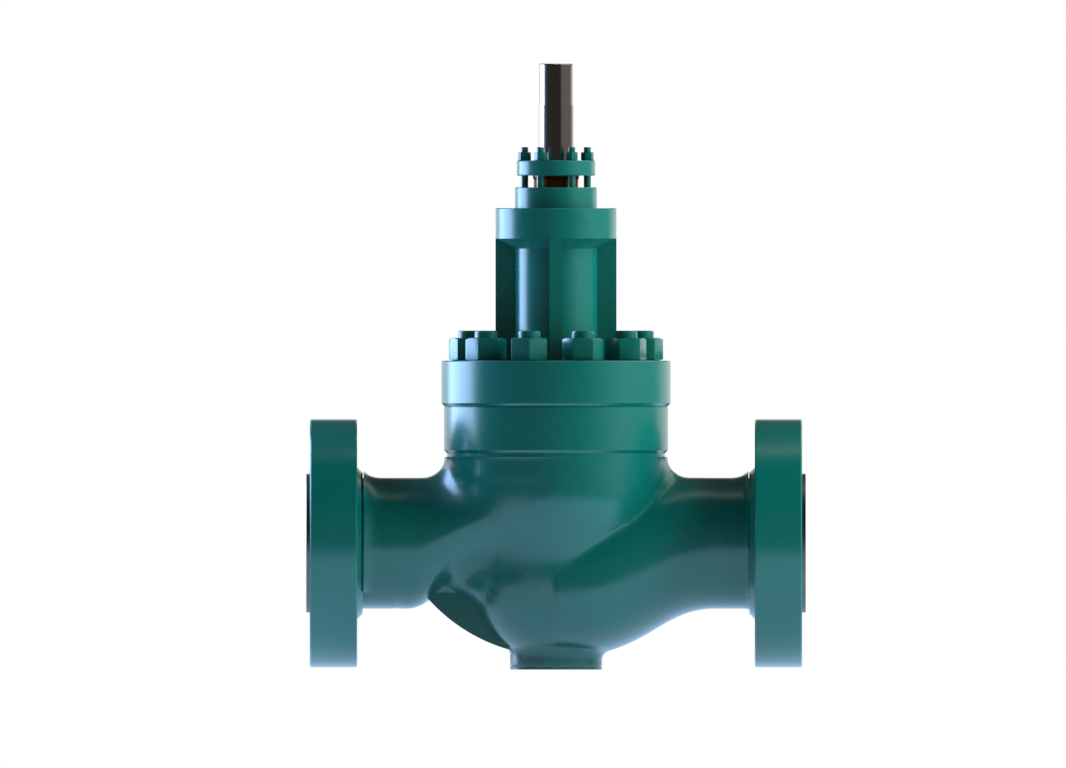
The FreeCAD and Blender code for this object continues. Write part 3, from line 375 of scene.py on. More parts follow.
def finish_piece(piece: bpy.types.Object, body: str, slot: str, *nodes: str) -> None:
    """Hand a piece over to the frame.

    Args:
        piece: The piece.
        body: Body that it moves with.
        slot: The record's material slot; not used.
        nodes: Nodes that it stands for.
    """
    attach(piece, body)
    if nodes:
        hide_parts(*nodes)
    LOG.info("%s: %d faces", piece.name, len(piece.data.polygons))


def turned_solid(outline: Iterable[tuple[float, float]], steps: int = CIRCLE_STEPS) -> bpy.types.Mesh:
    """Closed solid turned about the Z axis.

    Args:
        outline: Radius and height of each corner in turn, closed; a radius of 0 is on the axis.
        steps: Faces around the axis.

    Returns:
        The mesh.
    """
    corners = list(outline)

    def build(work: bmesh.types.BMesh) -> None:
        """Fill a bmesh with rows of faces around the axis."""
        rows = []
        for radius, height in corners:
            if radius == 0:
                rows.append([work.verts.new((0, 0, height))] * steps)
                continue
            rows.append([work.verts.new((radius * math.cos(turn), radius * math.sin(turn), height))
                         for turn in (2 * math.pi * step / steps for step in range(steps))])
        for row, following in zip(rows, rows[1:] + rows[:1]):
            for step in range(steps):
                after = (step + 1) % steps
                around = dict.fromkeys((row[step], row[after], following[after], following[step]))
                if len(around) > 2:
                    work.faces.new(list(around))
    return mesh_from(build)


# The castings


@dataclass
class DistanceField:
    """Distance to the surface of a solid on a grid of points, less than 0 inside the solid.

    Attributes:
        values: Distances in metres.
        low: Index of the first point along each axis.
        pitch: Spacing of the points.
    """

    values: np.ndarray
    low: tuple[int, int, int]
    pitch: float

    @classmethod
    def around(cls, mesh: bpy.types.Mesh, pitch: float, reach: float) -> "DistanceField":
        """Measure a closed mesh.

        Args:
            mesh: The mesh.
            pitch: Spacing of the points.
            reach: How far from the surface the distances are true.

        Returns:
            The field, on a grid that clears the mesh by the reach.
        """
        points = np.array([v.co for v in mesh.vertices], float)
        mesh.calc_loop_triangles()
        triangles = np.array([t.vertices for t in mesh.loop_triangles], np.uint32)
        grid = openvdb.FloatGrid.createLevelSetFromPolygons(
            points, triangles=triangles, transform=openvdb.createLinearTransform(voxelSize=pitch),
            halfWidth=reach / pitch)
        spare = int(reach / pitch) + 2
        low = tuple(int(v) - spare for v in np.floor(points.min(0) / pitch))
        high = tuple(int(v) + spare for v in np.ceil(points.max(0) / pitch))
        values = np.empty(tuple(b - a + 1 for a, b in zip(low, high)), np.float32)
        grid.copyToArray(values, ijk=low)
        return cls(values, low, pitch)

    def axes(self) -> list[np.ndarray]:
        """Coordinates of the grid points along X, Y and Z, ready to be combined."""
        lines = [(np.arange(size) + first) * self.pitch for size, first in zip(self.values.shape, self.low)]
        return list(np.meshgrid(*lines, indexing="ij", sparse=True))

    def surface(self, level: float) -> tuple[np.ndarray, np.ndarray]:
        """Points and four-sided faces of the surface at a distance.

        Args:
            level: The distance.

        Returns:
            The points and the faces.
        """
        grid = openvdb.FloatGrid(background=float(self.values.max()))
        grid.copyFromArray(np.ascontiguousarray(self.values, np.float32), ijk=self.low)
        grid.transform = openvdb.createLinearTransform(voxelSize=self.pitch)
        points, quads = grid.convertToQuads(isovalue=level)
        return points, quads

    def mesh(self, level: float, smoothing: int = 0) -> bpy.types.Mesh:
        """Closed mesh at a distance from the surface, with its small ripples smoothed away.

        Args:
            level: The distance.
            smoothing: How often the ripples are smoothed.

        Returns:
            The mesh.
        """
        points, quads = self.surface(level)
        mesh = bpy.data.meshes.new("surface")
        mesh.from_pydata(points.tolist(), [], quads.tolist())
        work = bmesh.new()
        work.from_mesh(mesh)
        for _ in range(smoothing):
            bmesh.ops.smooth_vert(work, verts=work.verts, factor=0.5,
                                  use_axis_x=True, use_axis_y=True, use_axis_z=True)
        bmesh.ops.recalc_face_normals(work, faces=work.faces)
        work.to_mesh(mesh)
        work.free()
        return mesh

    def hollows_filled(self, stoppers: np.ndarray) -> "DistanceField":
        """Fill what can't be reached from outside once some openings are stopped.

        Args:
            stoppers: True at the grid points of each stopper.

        Returns:
            The field of the outside alone.
        """
        free = (self.values > 0) & ~stoppers
        outside = flooded(free[::2, ::2, ::2])
        outside = outside.repeat(2, 0).repeat(2, 1).repeat(2, 2)
        outside = outside[tuple(slice(size) for size in free.shape)] & free
        for _ in range(4):
            outside = widened(outside) & free
        rim = outside
        for _ in range(3):
            rim = widened(rim)
        tiny = self.pitch * 1e-3
        return DistanceField(np.where(rim, self.values, -np.abs(self.values) - tiny), self.low, self.pitch)

    def filleted(self, radius: float) -> "DistanceField":
        """Field of the same solid with each inner corner filled to a radius.

        Args:
            radius: The radius.

        Returns:
            The new field.
        """
        points, quads = self.surface(radius)
        grid = openvdb.FloatGrid.createLevelSetFromPolygons(
            points, quads=quads, transform=openvdb.createLinearTransform(voxelSize=self.pitch),
            halfWidth=radius / self.pitch + 6)
        values = np.empty(self.values.shape, np.float32)
        grid.copyToArray(values, ijk=self.low)
        return DistanceField(values + radius, self.low, self.pitch)

    def softened(self, cells: int, rounds: int = 3) -> "DistanceField":
        """Field averaged over some cells each way, which rounds every corner.

        Args:
            cells: How many cells each way.
            rounds: How often this is done.

        Returns:
            The new field.
        """
        values = self.values
        for axis in (0, 1, 2) * rounds:
            sums = np.cumsum(np.pad(values, [(cells + 1, cells) if a == axis else (0, 0) for a in range(3)],
                                    mode="edge"), axis=axis, dtype=np.float64)
            width = 2 * cells + 1
            upper = np.take(sums, range(width, sums.shape[axis]), axis)
            lower = np.take(sums, range(sums.shape[axis] - width), axis)
            values = ((upper - lower) / width).astype(np.float32)
        return DistanceField(values, self.low, self.pitch)

    def near(self, points: np.ndarray) -> np.ndarray:
        """Distances at the grid points nearest to some points.

        Args:
            points: One point in each row.

        Returns:
            One distance for each point.
        """
        cells = np.rint(points / self.pitch).astype(int) - self.low
        cells = np.clip(cells, 0, np.array(self.values.shape) - 1)
        return self.values[tuple(cells.T)]

    def mixed(self, other: "DistanceField", share: np.ndarray) -> "DistanceField":
        """Field that is this one where the share is 0 and the other one where it is 1."""
        return DistanceField(self.values + (other.values - self.values) * share, self.low, self.pitch)


def flooded(free: np.ndarray) -> np.ndarray:
    """Free cells that can be reached from the first one.

    Args:
        free: True where a cell is free.

    Returns:
        True where a cell is reached.
    """
    reached = np.zeros_like(free)
    reached[0, 0, 0] = True
    before = 0
    while np.count_nonzero(reached) > before:
        before = np.count_nonzero(reached)
        for _ in range(8):
            reached = widened(reached) & free
    return reached


def widened(cells: np.ndarray) -> np.ndarray:
    """Cells that are set, with the neighbours of each.

    Args:
        cells: True where a cell is set.

    Returns:
        True for these cells and their neighbours.
    """
    wide = cells.copy()
    wide[1:] |= cells[:-1]
    wide[:-1] |= cells[1:]
    wide[:, 1:] |= cells[:, :-1]
    wide[:, :-1] |= cells[:, 1:]
    wide[:, :, 1:] |= cells[:, :, :-1]
    wide[:, :, :-1] |= cells[:, :, 1:]
    return wide


def ramp(values: np.ndarray, span: Span) -> np.ndarray:
    """Smooth step from 0 at the start of a span to 1 at its end.

    Args:
        values: Places along the span's line.
        span: The span.

    Returns:
        The step at each place.
    """
    start, end = span
    share = np.clip((values - start) / (end - start), 0, 1)
    return share * share * (3 - 2 * share)


@dataclass
class BodyCasting:
    """Globe body: barrel, bowl, inlet and outlet tubes, web and end flanges.

    Its solid leaves the inner corners sharp. A rounded skin takes the place of the outside between two
    corners of a zone, and the rest of the solid stays as it is.

    Attributes:
        zone_low: Lowest corner of the zone.
        zone_high: Highest corner of the zone.
        web_edge: Where the sharp-edged web ends towards the boss.
        web_top: Height above which the skin is rounded again.
        pitch: Size of the cells that the skin is worked out on.
        skin_depth: How deep the outside is renewed.
        overlap: How far the skin reaches into the rest.
        large_radius: Fillets where the tubes run into the barrel.
        small_radius: Fillets of the other inner corners.
        crease_radius: Fillet of the creases along the tubes.
        face_plane: Back of the raised faces, from the stem axis.
        face_clear: How far out, to the side and up a block reaches that holds all of a raised face.
        bore_radius: Bore of the ports.
        port_stopper: Distance of the stoppers in the ports from the stem axis, and their radius.
        neck_stopper: Height of the stopper in the neck, and its radius.
        stopper_half: Half the thickness of a stopper.
        turned_beyond: Distance from the stem axis and height beyond which the casting is turned.
        crease_start: Heights over which the creases along the tubes begin.
        crease_end: Heights over which they end.
        small_from_web: Distances from the web over which the small fillets grow.
        small_to_collar: Distances from the stem axis over which they fade out towards the collars.
        inlet_line: Height of the inlet's crease at the stem axis, and its slope.
        inlet_above: Heights above that crease over which the large fillets grow.
        inlet_share: Share of the large fillets in the crease itself.
        inlet_from_web: Distances from the web over which they grow in the crease.
        inlet_rise: Heights over which they grow in the crease.
        inlet_from_axis: Distances from the stem axis over which they grow towards the inlet.
        outlet_from_axis: Distances from the stem axis over which the large fillets of the outlet grow.
        outlet_rise: Heights over which they grow.
        outlet_sides: Distances to the side over which they fade out.
        flow_to_tube: Distances from the stem axis over which the softened form of the inlet fades out.
        flow_to_top: Heights over which it fades out.
        flow_cells: Cells each way that it is softened over.
    """

    zone_low: Vector = field(default_factory=lambda: Vector((-0.3745, -0.300, 0.004)))
    zone_high: Vector = field(default_factory=lambda: Vector((0.3745, 0.300, 0.414)))
    web_edge: float = -0.092
    web_top: float = 0.150
    pitch: float = 3.7 * MM
    skin_depth: float = 12 * MM
    overlap: float = 2 * MM
    large_radius: float = 38 * MM
    small_radius: float = 10 * MM
    crease_radius: float = 4 * MM
    face_plane: float = 0.479
    face_clear: tuple[float, float, float] = (0.6, 0.3, 0.5)
    bore_radius: float = 0.089
    port_stopper: tuple[float, float] = (0.42, 0.10)
    neck_stopper: tuple[float, float] = (0.475, 0.15)
    stopper_half: float = 12 * MM
    turned_beyond: tuple[float, float] = (0.376, 0.420)
    crease_start: Span = (0.06, 0.10)
    crease_end: Span = (0.29, 0.35)
    small_from_web: Span = (0.0, 0.045)
    small_to_collar: Span = (0.325, 0.345)
    inlet_line: tuple[float, float] = (0.302, 0.554)
    inlet_above: Span = (0.020, 0.065)
    inlet_share: float = 0.8
    inlet_from_web: Span = (0.0, 0.05)
    inlet_rise: Span = (0.13, 0.17)
    inlet_from_axis: Span = (0.0, 0.05)
    outlet_from_axis: Span = (0.10, 0.16)
    outlet_rise: Span = (0.33, 0.37)
    outlet_sides: Span = (0.03, 0.11)
    flow_to_tube: Span = (0.235, 0.275)
    flow_to_top: Span = (0.355, 0.385)
    flow_cells: int = 4

    def dress(self, frame: dict) -> None:
        """Make the casting's piece, enamelled outside and primed inside.

        Args:
            frame: The loaded frame.
        """
        solid = merged_copy(frame["nodes"]["body_casting"])
        measured = DistanceField.around(solid, self.pitch, self.large_radius + 3 * self.pitch)
        skin_field = self._rounded(measured.hollows_filled(self._stoppers(*measured.axes())))
        zone = self._zone()
        core = skin_field.mesh(-self.skin_depth)
        deeper = skin_field.mesh(-self.skin_depth - self.overlap)
        skin = combine(skin_field.mesh(0.0, smoothing=2), zone, Boolean.COMMON)
        skin = combine(skin, deeper, Boolean.LESS)
        rest = combine(solid, combine(zone, core, Boolean.LESS), Boolean.LESS)
        mesh = self._without_raised_faces(combine(rest, skin, Boolean.UNION))
        self._paint(mesh, skin_field)
        finish_piece(new_object("body_casting_rounded", mesh), "valve_body", "casting_paint", "body_casting")

    def _stoppers(self, x: np.ndarray, y: np.ndarray, z: np.ndarray) -> np.ndarray:
        """Discs in both ports and in the neck, which shut the hollows off.

        Args:
            x: Grid points along X.
            y: Grid points along Y.
            z: Grid points along Z.

        Returns:
            True at the points of the discs.
        """
        port, neck = self.port_stopper, self.neck_stopper
        in_ports = (abs(abs(x) - port[0]) < self.stopper_half) & (np.hypot(y, z - PORT_HEIGHT) < port[1])
        return in_ports | ((abs(z - neck[0]) < self.stopper_half) & (np.hypot(x, y) < neck[1]))

    def _rounded(self, outside: DistanceField) -> DistanceField:
        """Outside with small fillets, and with large ones where the tubes run into the barrel.

        The fillets fade out towards the web, whose edges are sharp.

        Args:
            outside: Field of the casting with its hollows filled.

        Returns:
            Field of the rounded casting.
        """
        x, y, z = outside.axes()
        from_web = np.hypot(np.maximum(x - self.web_edge, 0), np.maximum(z - self.web_top, 0))
        crease = (1 - ramp(z, self.crease_end)) * ramp(z, self.crease_start)
        small = outside.filleted(self.small_radius).mixed(outside.filleted(self.crease_radius), crease)
        rounded = ramp(from_web, self.small_from_web) * (1 - ramp(abs(x), self.small_to_collar))
        small = outside.mixed(small, rounded)
        large = outside.filleted(self.large_radius)
        # Inlet: large above the crease under the tube, which rises towards the stem axis, and nearly as
        # large in the crease itself, except along the web.
        at_axis, slope = self.inlet_line
        above_crease = ramp(z - (at_axis + slope * x), self.inlet_above)
        in_crease = self.inlet_share * ramp(from_web, self.inlet_from_web) * ramp(z, self.inlet_rise)
        inlet = np.maximum(above_crease, in_crease) * ramp(-x, self.inlet_from_axis)
        # Outlet: large only along the top, and fading away down the sides.
        outlet = ramp(x, self.outlet_from_axis) * ramp(z, self.outlet_rise)
        outlet = outlet * (1 - ramp(abs(y), self.outlet_sides))
        blended = small.mixed(large, np.clip(inlet + outlet, 0, 1))
        flow = inlet * (1 - ramp(-x, self.flow_to_tube)) * (1 - ramp(z, self.flow_to_top))
        return blended.mixed(blended.softened(self.flow_cells), flow)

    def _zone(self) -> bpy.types.Mesh:
        """Everything between the collars, but not the web under the inlet tube."""
        web = block(self.zone_low - Vector((1, 1, 1)), Vector((self.web_edge, 1, self.web_top)))
        return combine(block(self.zone_low, self.zone_high), web, Boolean.LESS)

    def _without_raised_faces(self, mesh: bpy.types.Mesh) -> bpy.types.Mesh:
        """The casting cut off at the back of its raised faces, which are pieces of their own."""
        for way in (-1, 1):
            out, side, top = self.face_clear
            ends = sorted((way * self.face_plane, way * out))
            face = block(Vector((ends[0], -side, 0)), Vector((ends[1], side, top)))
            mesh = combine(mesh, face, Boolean.LESS)
        return mesh

    def _paint(self, mesh: bpy.types.Mesh, skin_field: DistanceField) -> None:
        """Give each face its finish: cast and enamelled, turned and enamelled, or primed.

        Args:
            mesh: Mesh of the casting.
            skin_field: Field of the rounded casting.
        """
        shade(mesh)
        mesh.materials.clear()
        for finish in (CAST_ENAMEL, TURNED_ENAMEL, PRIMED_STEEL):
            mesh.materials.append(finish.material())
        centres = np.array([face.center for face in mesh.polygons])
        x, y, z = abs(centres[:, 0]), centres[:, 1], centres[:, 2]
        turned = (x > self.turned_beyond[0]) | (z > self.turned_beyond[1])
        in_port = (x > self.zone_high.x) & (np.hypot(y, z - PORT_HEIGHT) < self.bore_radius + 1 * MM)
        inside = in_port | ((x <= self.zone_high.x) & (skin_field.near(centres) < -self.skin_depth / 2))
        mesh.polygons.foreach_set("material_index", np.where(inside, 2, np.where(turned, 1, 0)))


@dataclass
class RaisedFaces:
    """Raised faces of the end flanges, turned with fine rings that grip the gasket.

    Attributes:
        inner: Bore radius.
        outer: Radius of the raised face.
        back: Where the raised face starts, from the stem axis.
        front: Where it ends.
        groove_pitch: Spacing of the rings. Real ones are 0.8 mm apart, which is too fine to show, so they
            are drawn twice as coarse.
        groove_depth: Depth of the rings.
        margin: Width left plain inside and outside the rings.
        chamfer: Chamfer of both rims.
    """

    inner: float = 89.0 * MM
    outer: float = 134.95 * MM
    back: float = 479.0 * MM
    front: float = 486.0 * MM
    groove_pitch: float = 1.6 * MM
    groove_depth: float = 0.15 * MM
    margin: float = 3.0 * MM
    chamfer: float = 0.5 * MM

    def outline(self) -> list[tuple[float, float]]:
        """Corners of the ring, with a zigzag over its front."""
        corners = [(self.inner, self.back), (self.outer, self.back), (self.outer, self.front - self.chamfer),
                   (self.outer - self.chamfer, self.front)]
        radius = self.outer - self.margin
        while radius > self.inner + self.margin + self.groove_pitch:
            corners += [(radius, self.front),
                        (radius - self.groove_pitch / 2, self.front - self.groove_depth)]
            radius -= self.groove_pitch
        return corners + [(radius, self.front), (self.inner + self.chamfer, self.front),
                          (self.inner, self.front - self.chamfer)]

    def dress(self) -> None:
        """Make both raised faces."""
        for name, way in (("inlet", -1), ("outlet", 1)):
            mesh = turned_solid(self.outline(), steps=120)
            lying = Matrix.Rotation(way * math.pi / 2, 4, "Y")
            mesh.transform(Matrix.Translation((0, 0, PORT_HEIGHT)) @ lying)
            shade(mesh)
            mesh.materials.append(MACHINED_STEEL.material())
            finish_piece(new_object(name + "_raised_face", mesh), "valve_body", "bare_face")


# Fasteners


@dataclass
class FastenerRing:
    """Copies of one fastener around the stem axis, each with its own turn.

    Attributes:
        count: Copies in the full circle.
        circle: Radius of the circle.
        height: Height of the fastener's foot.
        turns: Degrees by which each copy is turned about its own axis.
    """

    count: int
    circle: float
    height: float
    turns: tuple[float, ...]

    def tree(self) -> bpy.types.NodeTree:
        """Geometry Nodes tree that sets the copies out, made once."""
        made = bpy.data.node_groups.get("fastener_ring")
        if made:
            return made
        made = bpy.data.node_groups.new("fastener_ring", "GeometryNodeTree")
        face = made.interface
        face.new_socket("Geometry", in_out="OUTPUT", socket_type="NodeSocketGeometry")
        for name, kind in (("Turns", "Geometry"), ("Fastener", "Object"), ("Count", "Int"),
                           ("Circle", "Float"), ("Height", "Float"), ("First", "Int"), ("Last", "Int"),
                           ("Finish", "Material")):
            face.new_socket(name, in_out="INPUT", socket_type="NodeSocket" + kind)
        given = add(made, "NodeGroupInput").outputs
        circle = add(made, "GeometryNodeMeshCircle", None, Vertices=given["Count"], Radius=given["Circle"])
        lift = add(made, "ShaderNodeCombineXYZ", None, Z=given["Height"])
        lifted = add(made, "GeometryNodeSetPosition", None, Geometry=circle.outputs[0],
                     Offset=lift.outputs[0])
        index = add(made, "GeometryNodeInputIndex").outputs[0]
        step = add(made, "ShaderNodeMath", {"operation": "DIVIDE"}, i0=math.tau, i1=given["Count"])
        around = add(made, "ShaderNodeMath", {"operation": "MULTIPLY"}, i0=index, i1=step.outputs[0])
        turn = add(made, "GeometryNodeInputNamedAttribute", {"data_type": "FLOAT"}, Name="turn")
        own = add(made, "GeometryNodeSampleIndex", {"data_type": "FLOAT", "domain": "POINT"},
                  Geometry=given["Turns"], Value=turn.outputs[0], Index=index)
        total = add(made, "ShaderNodeMath", {"operation": "ADD"}, i0=around.outputs[0], i1=own.outputs[0])
        spin = add(made, "ShaderNodeCombineXYZ", None, Z=total.outputs[0])
        after = add(made, "FunctionNodeCompare", {"data_type": "INT", "operation": "GREATER_EQUAL"},
                    i2=index, i3=given["First"])
        before = add(made, "FunctionNodeCompare", {"data_type": "INT", "operation": "LESS_EQUAL"},
                     i2=index, i3=given["Last"])
        chosen = add(made, "FunctionNodeBooleanMath", {"operation": "AND"}, i0=after.outputs[0],
                     i1=before.outputs[0])
        shape = add(made, "GeometryNodeObjectInfo", None, Object=given["Fastener"])
        copies = add(made, "GeometryNodeInstanceOnPoints", None, Points=lifted.outputs[0],
                     Selection=chosen.outputs[0], Instance=shape.outputs["Geometry"],
                     Rotation=spin.outputs[0])
        real = add(made, "GeometryNodeRealizeInstances", None, Geometry=copies.outputs[0])
        done = add(made, "GeometryNodeSetMaterial", None, Geometry=real.outputs[0], Material=given["Finish"])
        add(made, "NodeGroupOutput", None, Geometry=done.outputs[0])
        return made

    def copies(self, name: str, fastener: bpy.types.Mesh, first: int, last: int,
               finish: Finish) -> bpy.types.Object:
        """Make one piece with a run of the copies.

        Args:
            name: Name of the piece.
            fastener: Mesh that stands on the origin.
            first: Place of the first copy.
            last: Place of the last copy.
            finish: Finish of the piece.

        Returns:
            The piece, as a plain mesh.
        """
        points = bpy.data.meshes.new("turns")
        points.from_pydata([(0.0, 0.0, 0.0)] * self.count, [], [])
        turn = points.attributes.new("turn", "FLOAT", "POINT")
        turn.data.foreach_set("value", [math.radians(angle) for angle in self.turns])
        host, model = new_object("host", points), new_object("model", fastener)
        tree = self.tree()
        modifier = host.modifiers.new("ring", "NODES")
        values = {"Fastener": model, "Count": self.count, "Circle": self.circle, "Height": self.height,
                  "First": first, "Last": last, "Finish": finish.material()}
        sockets = {item.name: item.identifier for item in tree.interface.items_tree if item.in_out == "INPUT"}
        modifier.node_group = tree
        for socket, value in values.items():
            modifier[sockets[socket]] = value
        mesh = evaluated_mesh(host)
        shade(mesh, FASTENER_EDGE)
        for thing in (host, model):
            bpy.data.objects.remove(thing)
        return new_object(name, mesh)


@dataclass
class Bolting:
    """Studs and heavy hexagon nuts of one joint.

    Attributes:
        ring: Where the nuts stand.
        stud_radius: Radius of the studs.
        stud_foot: Height of the foot of the studs.
        stud_length: Length of a stud from its foot to its tip.
        flats: Nut across flats.
        nut_height: Height of a nut.
        bore: Bore of a nut.
        tip_round: Rounding of a stud's tip.
        lead: Chamfer at a stud's foot, and what a tool reaches past a nut.
        edge_share: Share of the flats that the washer face and the softened edges take.
        face_share: Share of the flats that the washer face is wide.
        corner_slope: Slope in degrees at which a nut's corners are turned off.
        soft_edge: Edges sharper than this angle in degrees are softened.
    """

    ring: FastenerRing
    stud_radius: float
    stud_foot: float
    stud_length: float
    flats: float
    nut_height: float
    bore: float
    tip_round: float
    lead: float = 1 * MM
    edge_share: float = 0.012
    face_share: float = 0.97
    corner_slope: float = 30.0
    soft_edge: float = 25.0

    def stud(self) -> bpy.types.Mesh:
        """Stud with a rounded tip."""
        radius, top, soft, lead = self.stud_radius, self.stud_length, self.tip_round, self.lead
        arc = [(radius - soft + soft * math.cos(turn), top - soft + soft * math.sin(turn))
               for turn in (math.pi / 2 * step / 6 for step in range(7))]
        return turned_solid([(0, 0), (radius - lead, 0), (radius, lead), *arc, (0, top)], steps=48)

    def nut(self) -> bpy.types.Mesh:
        """Hexagon nut with its corners turned off above and a washer face below."""
        flat, high, lead = self.flats / 2, self.nut_height, self.lead
        corner = flat / math.cos(math.pi / 6)
        face = flat * self.face_share
        washer = self.flats * self.edge_share
        shoulder = high - (corner + lead - face) * math.tan(math.radians(self.corner_slope))
        envelope = turned_solid([(0, 0), (face, 0), (face, washer), (corner + lead, washer + 1.5 * lead),
                                 (corner + lead, shoulder), (face, high), (0, high)], 72)
        hexagon = turned_solid([(0, 0), (corner, 0), (corner, high), (0, high)], steps=6)
        bore = turned_solid([(0, -lead), (self.bore, -lead), (self.bore, high + lead), (0, high + lead)], 48)
        nut = combine(combine(hexagon, envelope, Boolean.COMMON), bore, Boolean.LESS)
        soft = new_object("soft", nut)
        bevel = soft.modifiers.new("soft", "BEVEL")
        bevel.width, bevel.segments, bevel.limit_method = washer, 2, "ANGLE"
        bevel.angle_limit = math.radians(self.soft_edge)
        rounded = evaluated_mesh(soft)
        bpy.data.objects.remove(soft)
        return rounded


@dataclass
class BonnetBolting(Bolting):
    """Ten studs and nuts that hold the bonnet down."""

    ring: FastenerRing = field(default_factory=lambda: FastenerRing(
        10, 168.35 * MM, 601.3 * MM, (5, 21, 48, 13, 33, 55, 32, 18, 12, 48)))
    stud_radius: float = 22.2 * MM
    stud_foot: float = 442.0 * MM
    stud_length: float = 217.7 * MM
    flats: float = 69.85 * MM
    nut_height: float = 44.2 * MM
    bore: float = 22.3 * MM
    tip_round: float = 4.0 * MM

    def dress(self) -> None:
        """Make the studs as one piece and the nuts as another, because one body carries them all."""
        last = self.ring.count - 1
        low = FastenerRing(self.ring.count, self.ring.circle, self.stud_foot, self.ring.turns)
        for name, ring, shape in (("studs", low, self.stud()), ("nuts", self.ring, self.nut())):
            piece = ring.copies("bonnet_" + name, shape, 0, last, BOLT_ENAMEL)
            nodes = ("bonnet_%s_%d" % (name[:-1], index + 1) for index in range(self.ring.count))
            finish_piece(piece, "valve_body", "fastener_paint", *nodes)


@dataclass
class GlandBolting(Bolting):
    """Six studs and nuts that pull the gland down; each nut turns by itself."""

    ring: FastenerRing = field(default_factory=lambda: FastenerRing(
        6, 61.0 * MM, 990.9 * MM, (10, 35, 22, 50, 5, 31)))
    stud_radius: float = 7.0 * MM
    stud_foot: float = 903.5 * MM
    stud_length: float = 113.3 * MM
    flats: float = 22.0 * MM
    nut_height: float = 16.0 * MM
    bore: float = 7.05 * MM
    tip_round: float = 1.5 * MM

    def dress(self) -> None:
        """Make the studs as one piece and each nut as a piece on its own body."""
        low = FastenerRing(self.ring.count, self.ring.circle, self.stud_foot, self.ring.turns)
        studs = low.copies("gland_studs", self.stud(), 0, self.ring.count - 1, BOLT_ENAMEL)
        nodes = ("gland_stud_%d" % (index + 1) for index in range(self.ring.count))
        finish_piece(studs, "valve_body", "fastener_paint", *nodes)
        for index in range(self.ring.count):
            name = "gland_nut_%d" % (index + 1)
            piece = self.ring.copies(name + "_forged", self.nut(), index, index, BOLT_ENAMEL)
            finish_piece(piece, name + "_body", "fastener_paint", name)


# Pieces whose solids have the right shape


NODE_FINISHES = {
    "bonnet": TURNED_ENAMEL,
    "stem": GROUND_STAINLESS,
    "gland_flange": TURNED_ENAMEL,
    "packing_follower": TARNISHED_BRONZE,
    "guide_bushing": TARNISHED_BRONZE,
    "stem_wiper": MOULDED_RUBBER,
    "seat_gasket": WOUND_GASKET,
    "bonnet_gasket": WOUND_GASKET,
    "seat_ring": TRIM_STAINLESS,
    "cage": TRIM_STAINLESS,
    "plug": TRIM_STAINLESS,
    "plug_pin": TRIM_STAINLESS,
    "box_ring": TRIM_STAINLESS,
    "lantern_ring": TRIM_STAINLESS,
    "upper_piston_ring": PRESSED_GRAPHITE,
    "lower_piston_ring": PRESSED_GRAPHITE,
    "upper_packing_rings": PRESSED_GRAPHITE,
}


@dataclass
class TurnedPieces:
    """Pieces that keep their solids and only get a finish.

    Attributes:
        finishes: Finish of each node.
    """

    finishes: dict[str, Finish] = field(default_factory=lambda: {
        **NODE_FINISHES, **{"lower_packing_ring_%d" % place: PRESSED_GRAPHITE for place in range(1, 5)}})

    def dress(self, frame: dict) -> None:
        """Give each node its finish.

        Args:
            frame: The loaded frame.
        """
        for name, finish in self.finishes.items():
            mesh = frame["nodes"][name].data
            mesh.materials.clear()
            mesh.materials.append(finish.material())
            LOG.info("%s: %s", name, finish.name)


# Studio


def plain_material(name: str, colour: str, roughness: float) -> bpy.types.Material:
    """Material of one colour.

    Args:
        name: Its name.
        colour: sRGB hex colour.
        roughness: Its roughness.

    Returns:
        The material.
    """
    material = bpy.data.materials.new(name)
    material.use_nodes = True
    shader = material.node_tree.nodes["Principled BSDF"]
    shader.inputs["Base Color"].default_value = linear(colour)
    shader.inputs["Roughness"].default_value = roughness
    return material


def painted_reflection_material(name: str, brightness: float) -> bpy.types.Material:
    """Material that shows one brightness whatever light falls on it: a glow that paints shade or light into
    reflections.

    Args:
        name: Its name.
        brightness: The brightness, of which 1 is white.

    Returns:
        The material.
    """
    material = bpy.data.materials.new(name)
    material.use_nodes = True
    tree = material.node_tree
    glow = add(tree, "ShaderNodeEmission", None, Color=linear("#fff8f0"), Strength=brightness)
    tree.links.new(glow.outputs[0], tree.nodes["Material Output"].inputs["Surface"])
    return material


@dataclass
class SoftBox:
    """One large soft lamp that stands on the floor.

    Attributes:
        name: Its name.
        azimuth: Where it stands, in degrees to the right of the camera.
        distance: How far it stands from the stem axis.
        size: Width and height.
        power: Watts.
        colour: sRGB hex colour.
        reflected: Whether reflections see it.
        lift: Height of its lower edge above the floor.
    """

    name: str
    azimuth: float
    distance: float
    size: tuple[float, float]
    power: float
    colour: str
    reflected: bool
    lift: float = 0.05

    def hang(self) -> None:
        """Put the lamp into the scene."""
        lamp = bpy.data.lights.new(self.name, "AREA")
        lamp.shape = "RECTANGLE"
        lamp.size, lamp.size_y = self.size
        lamp.energy = self.power
        lamp.color = linear(self.colour)[:3]
        thing = bpy.data.objects.new(self.name, lamp)
        bpy.context.scene.collection.objects.link(thing)
        turn = math.radians(self.azimuth)
        thing.location = (self.distance * math.sin(turn), -self.distance * math.cos(turn),
                          self.size[1] / 2 + self.lift)
        thing.rotation_euler = (math.pi / 2, 0.0, turn)
        thing.visible_glossy = self.reflected


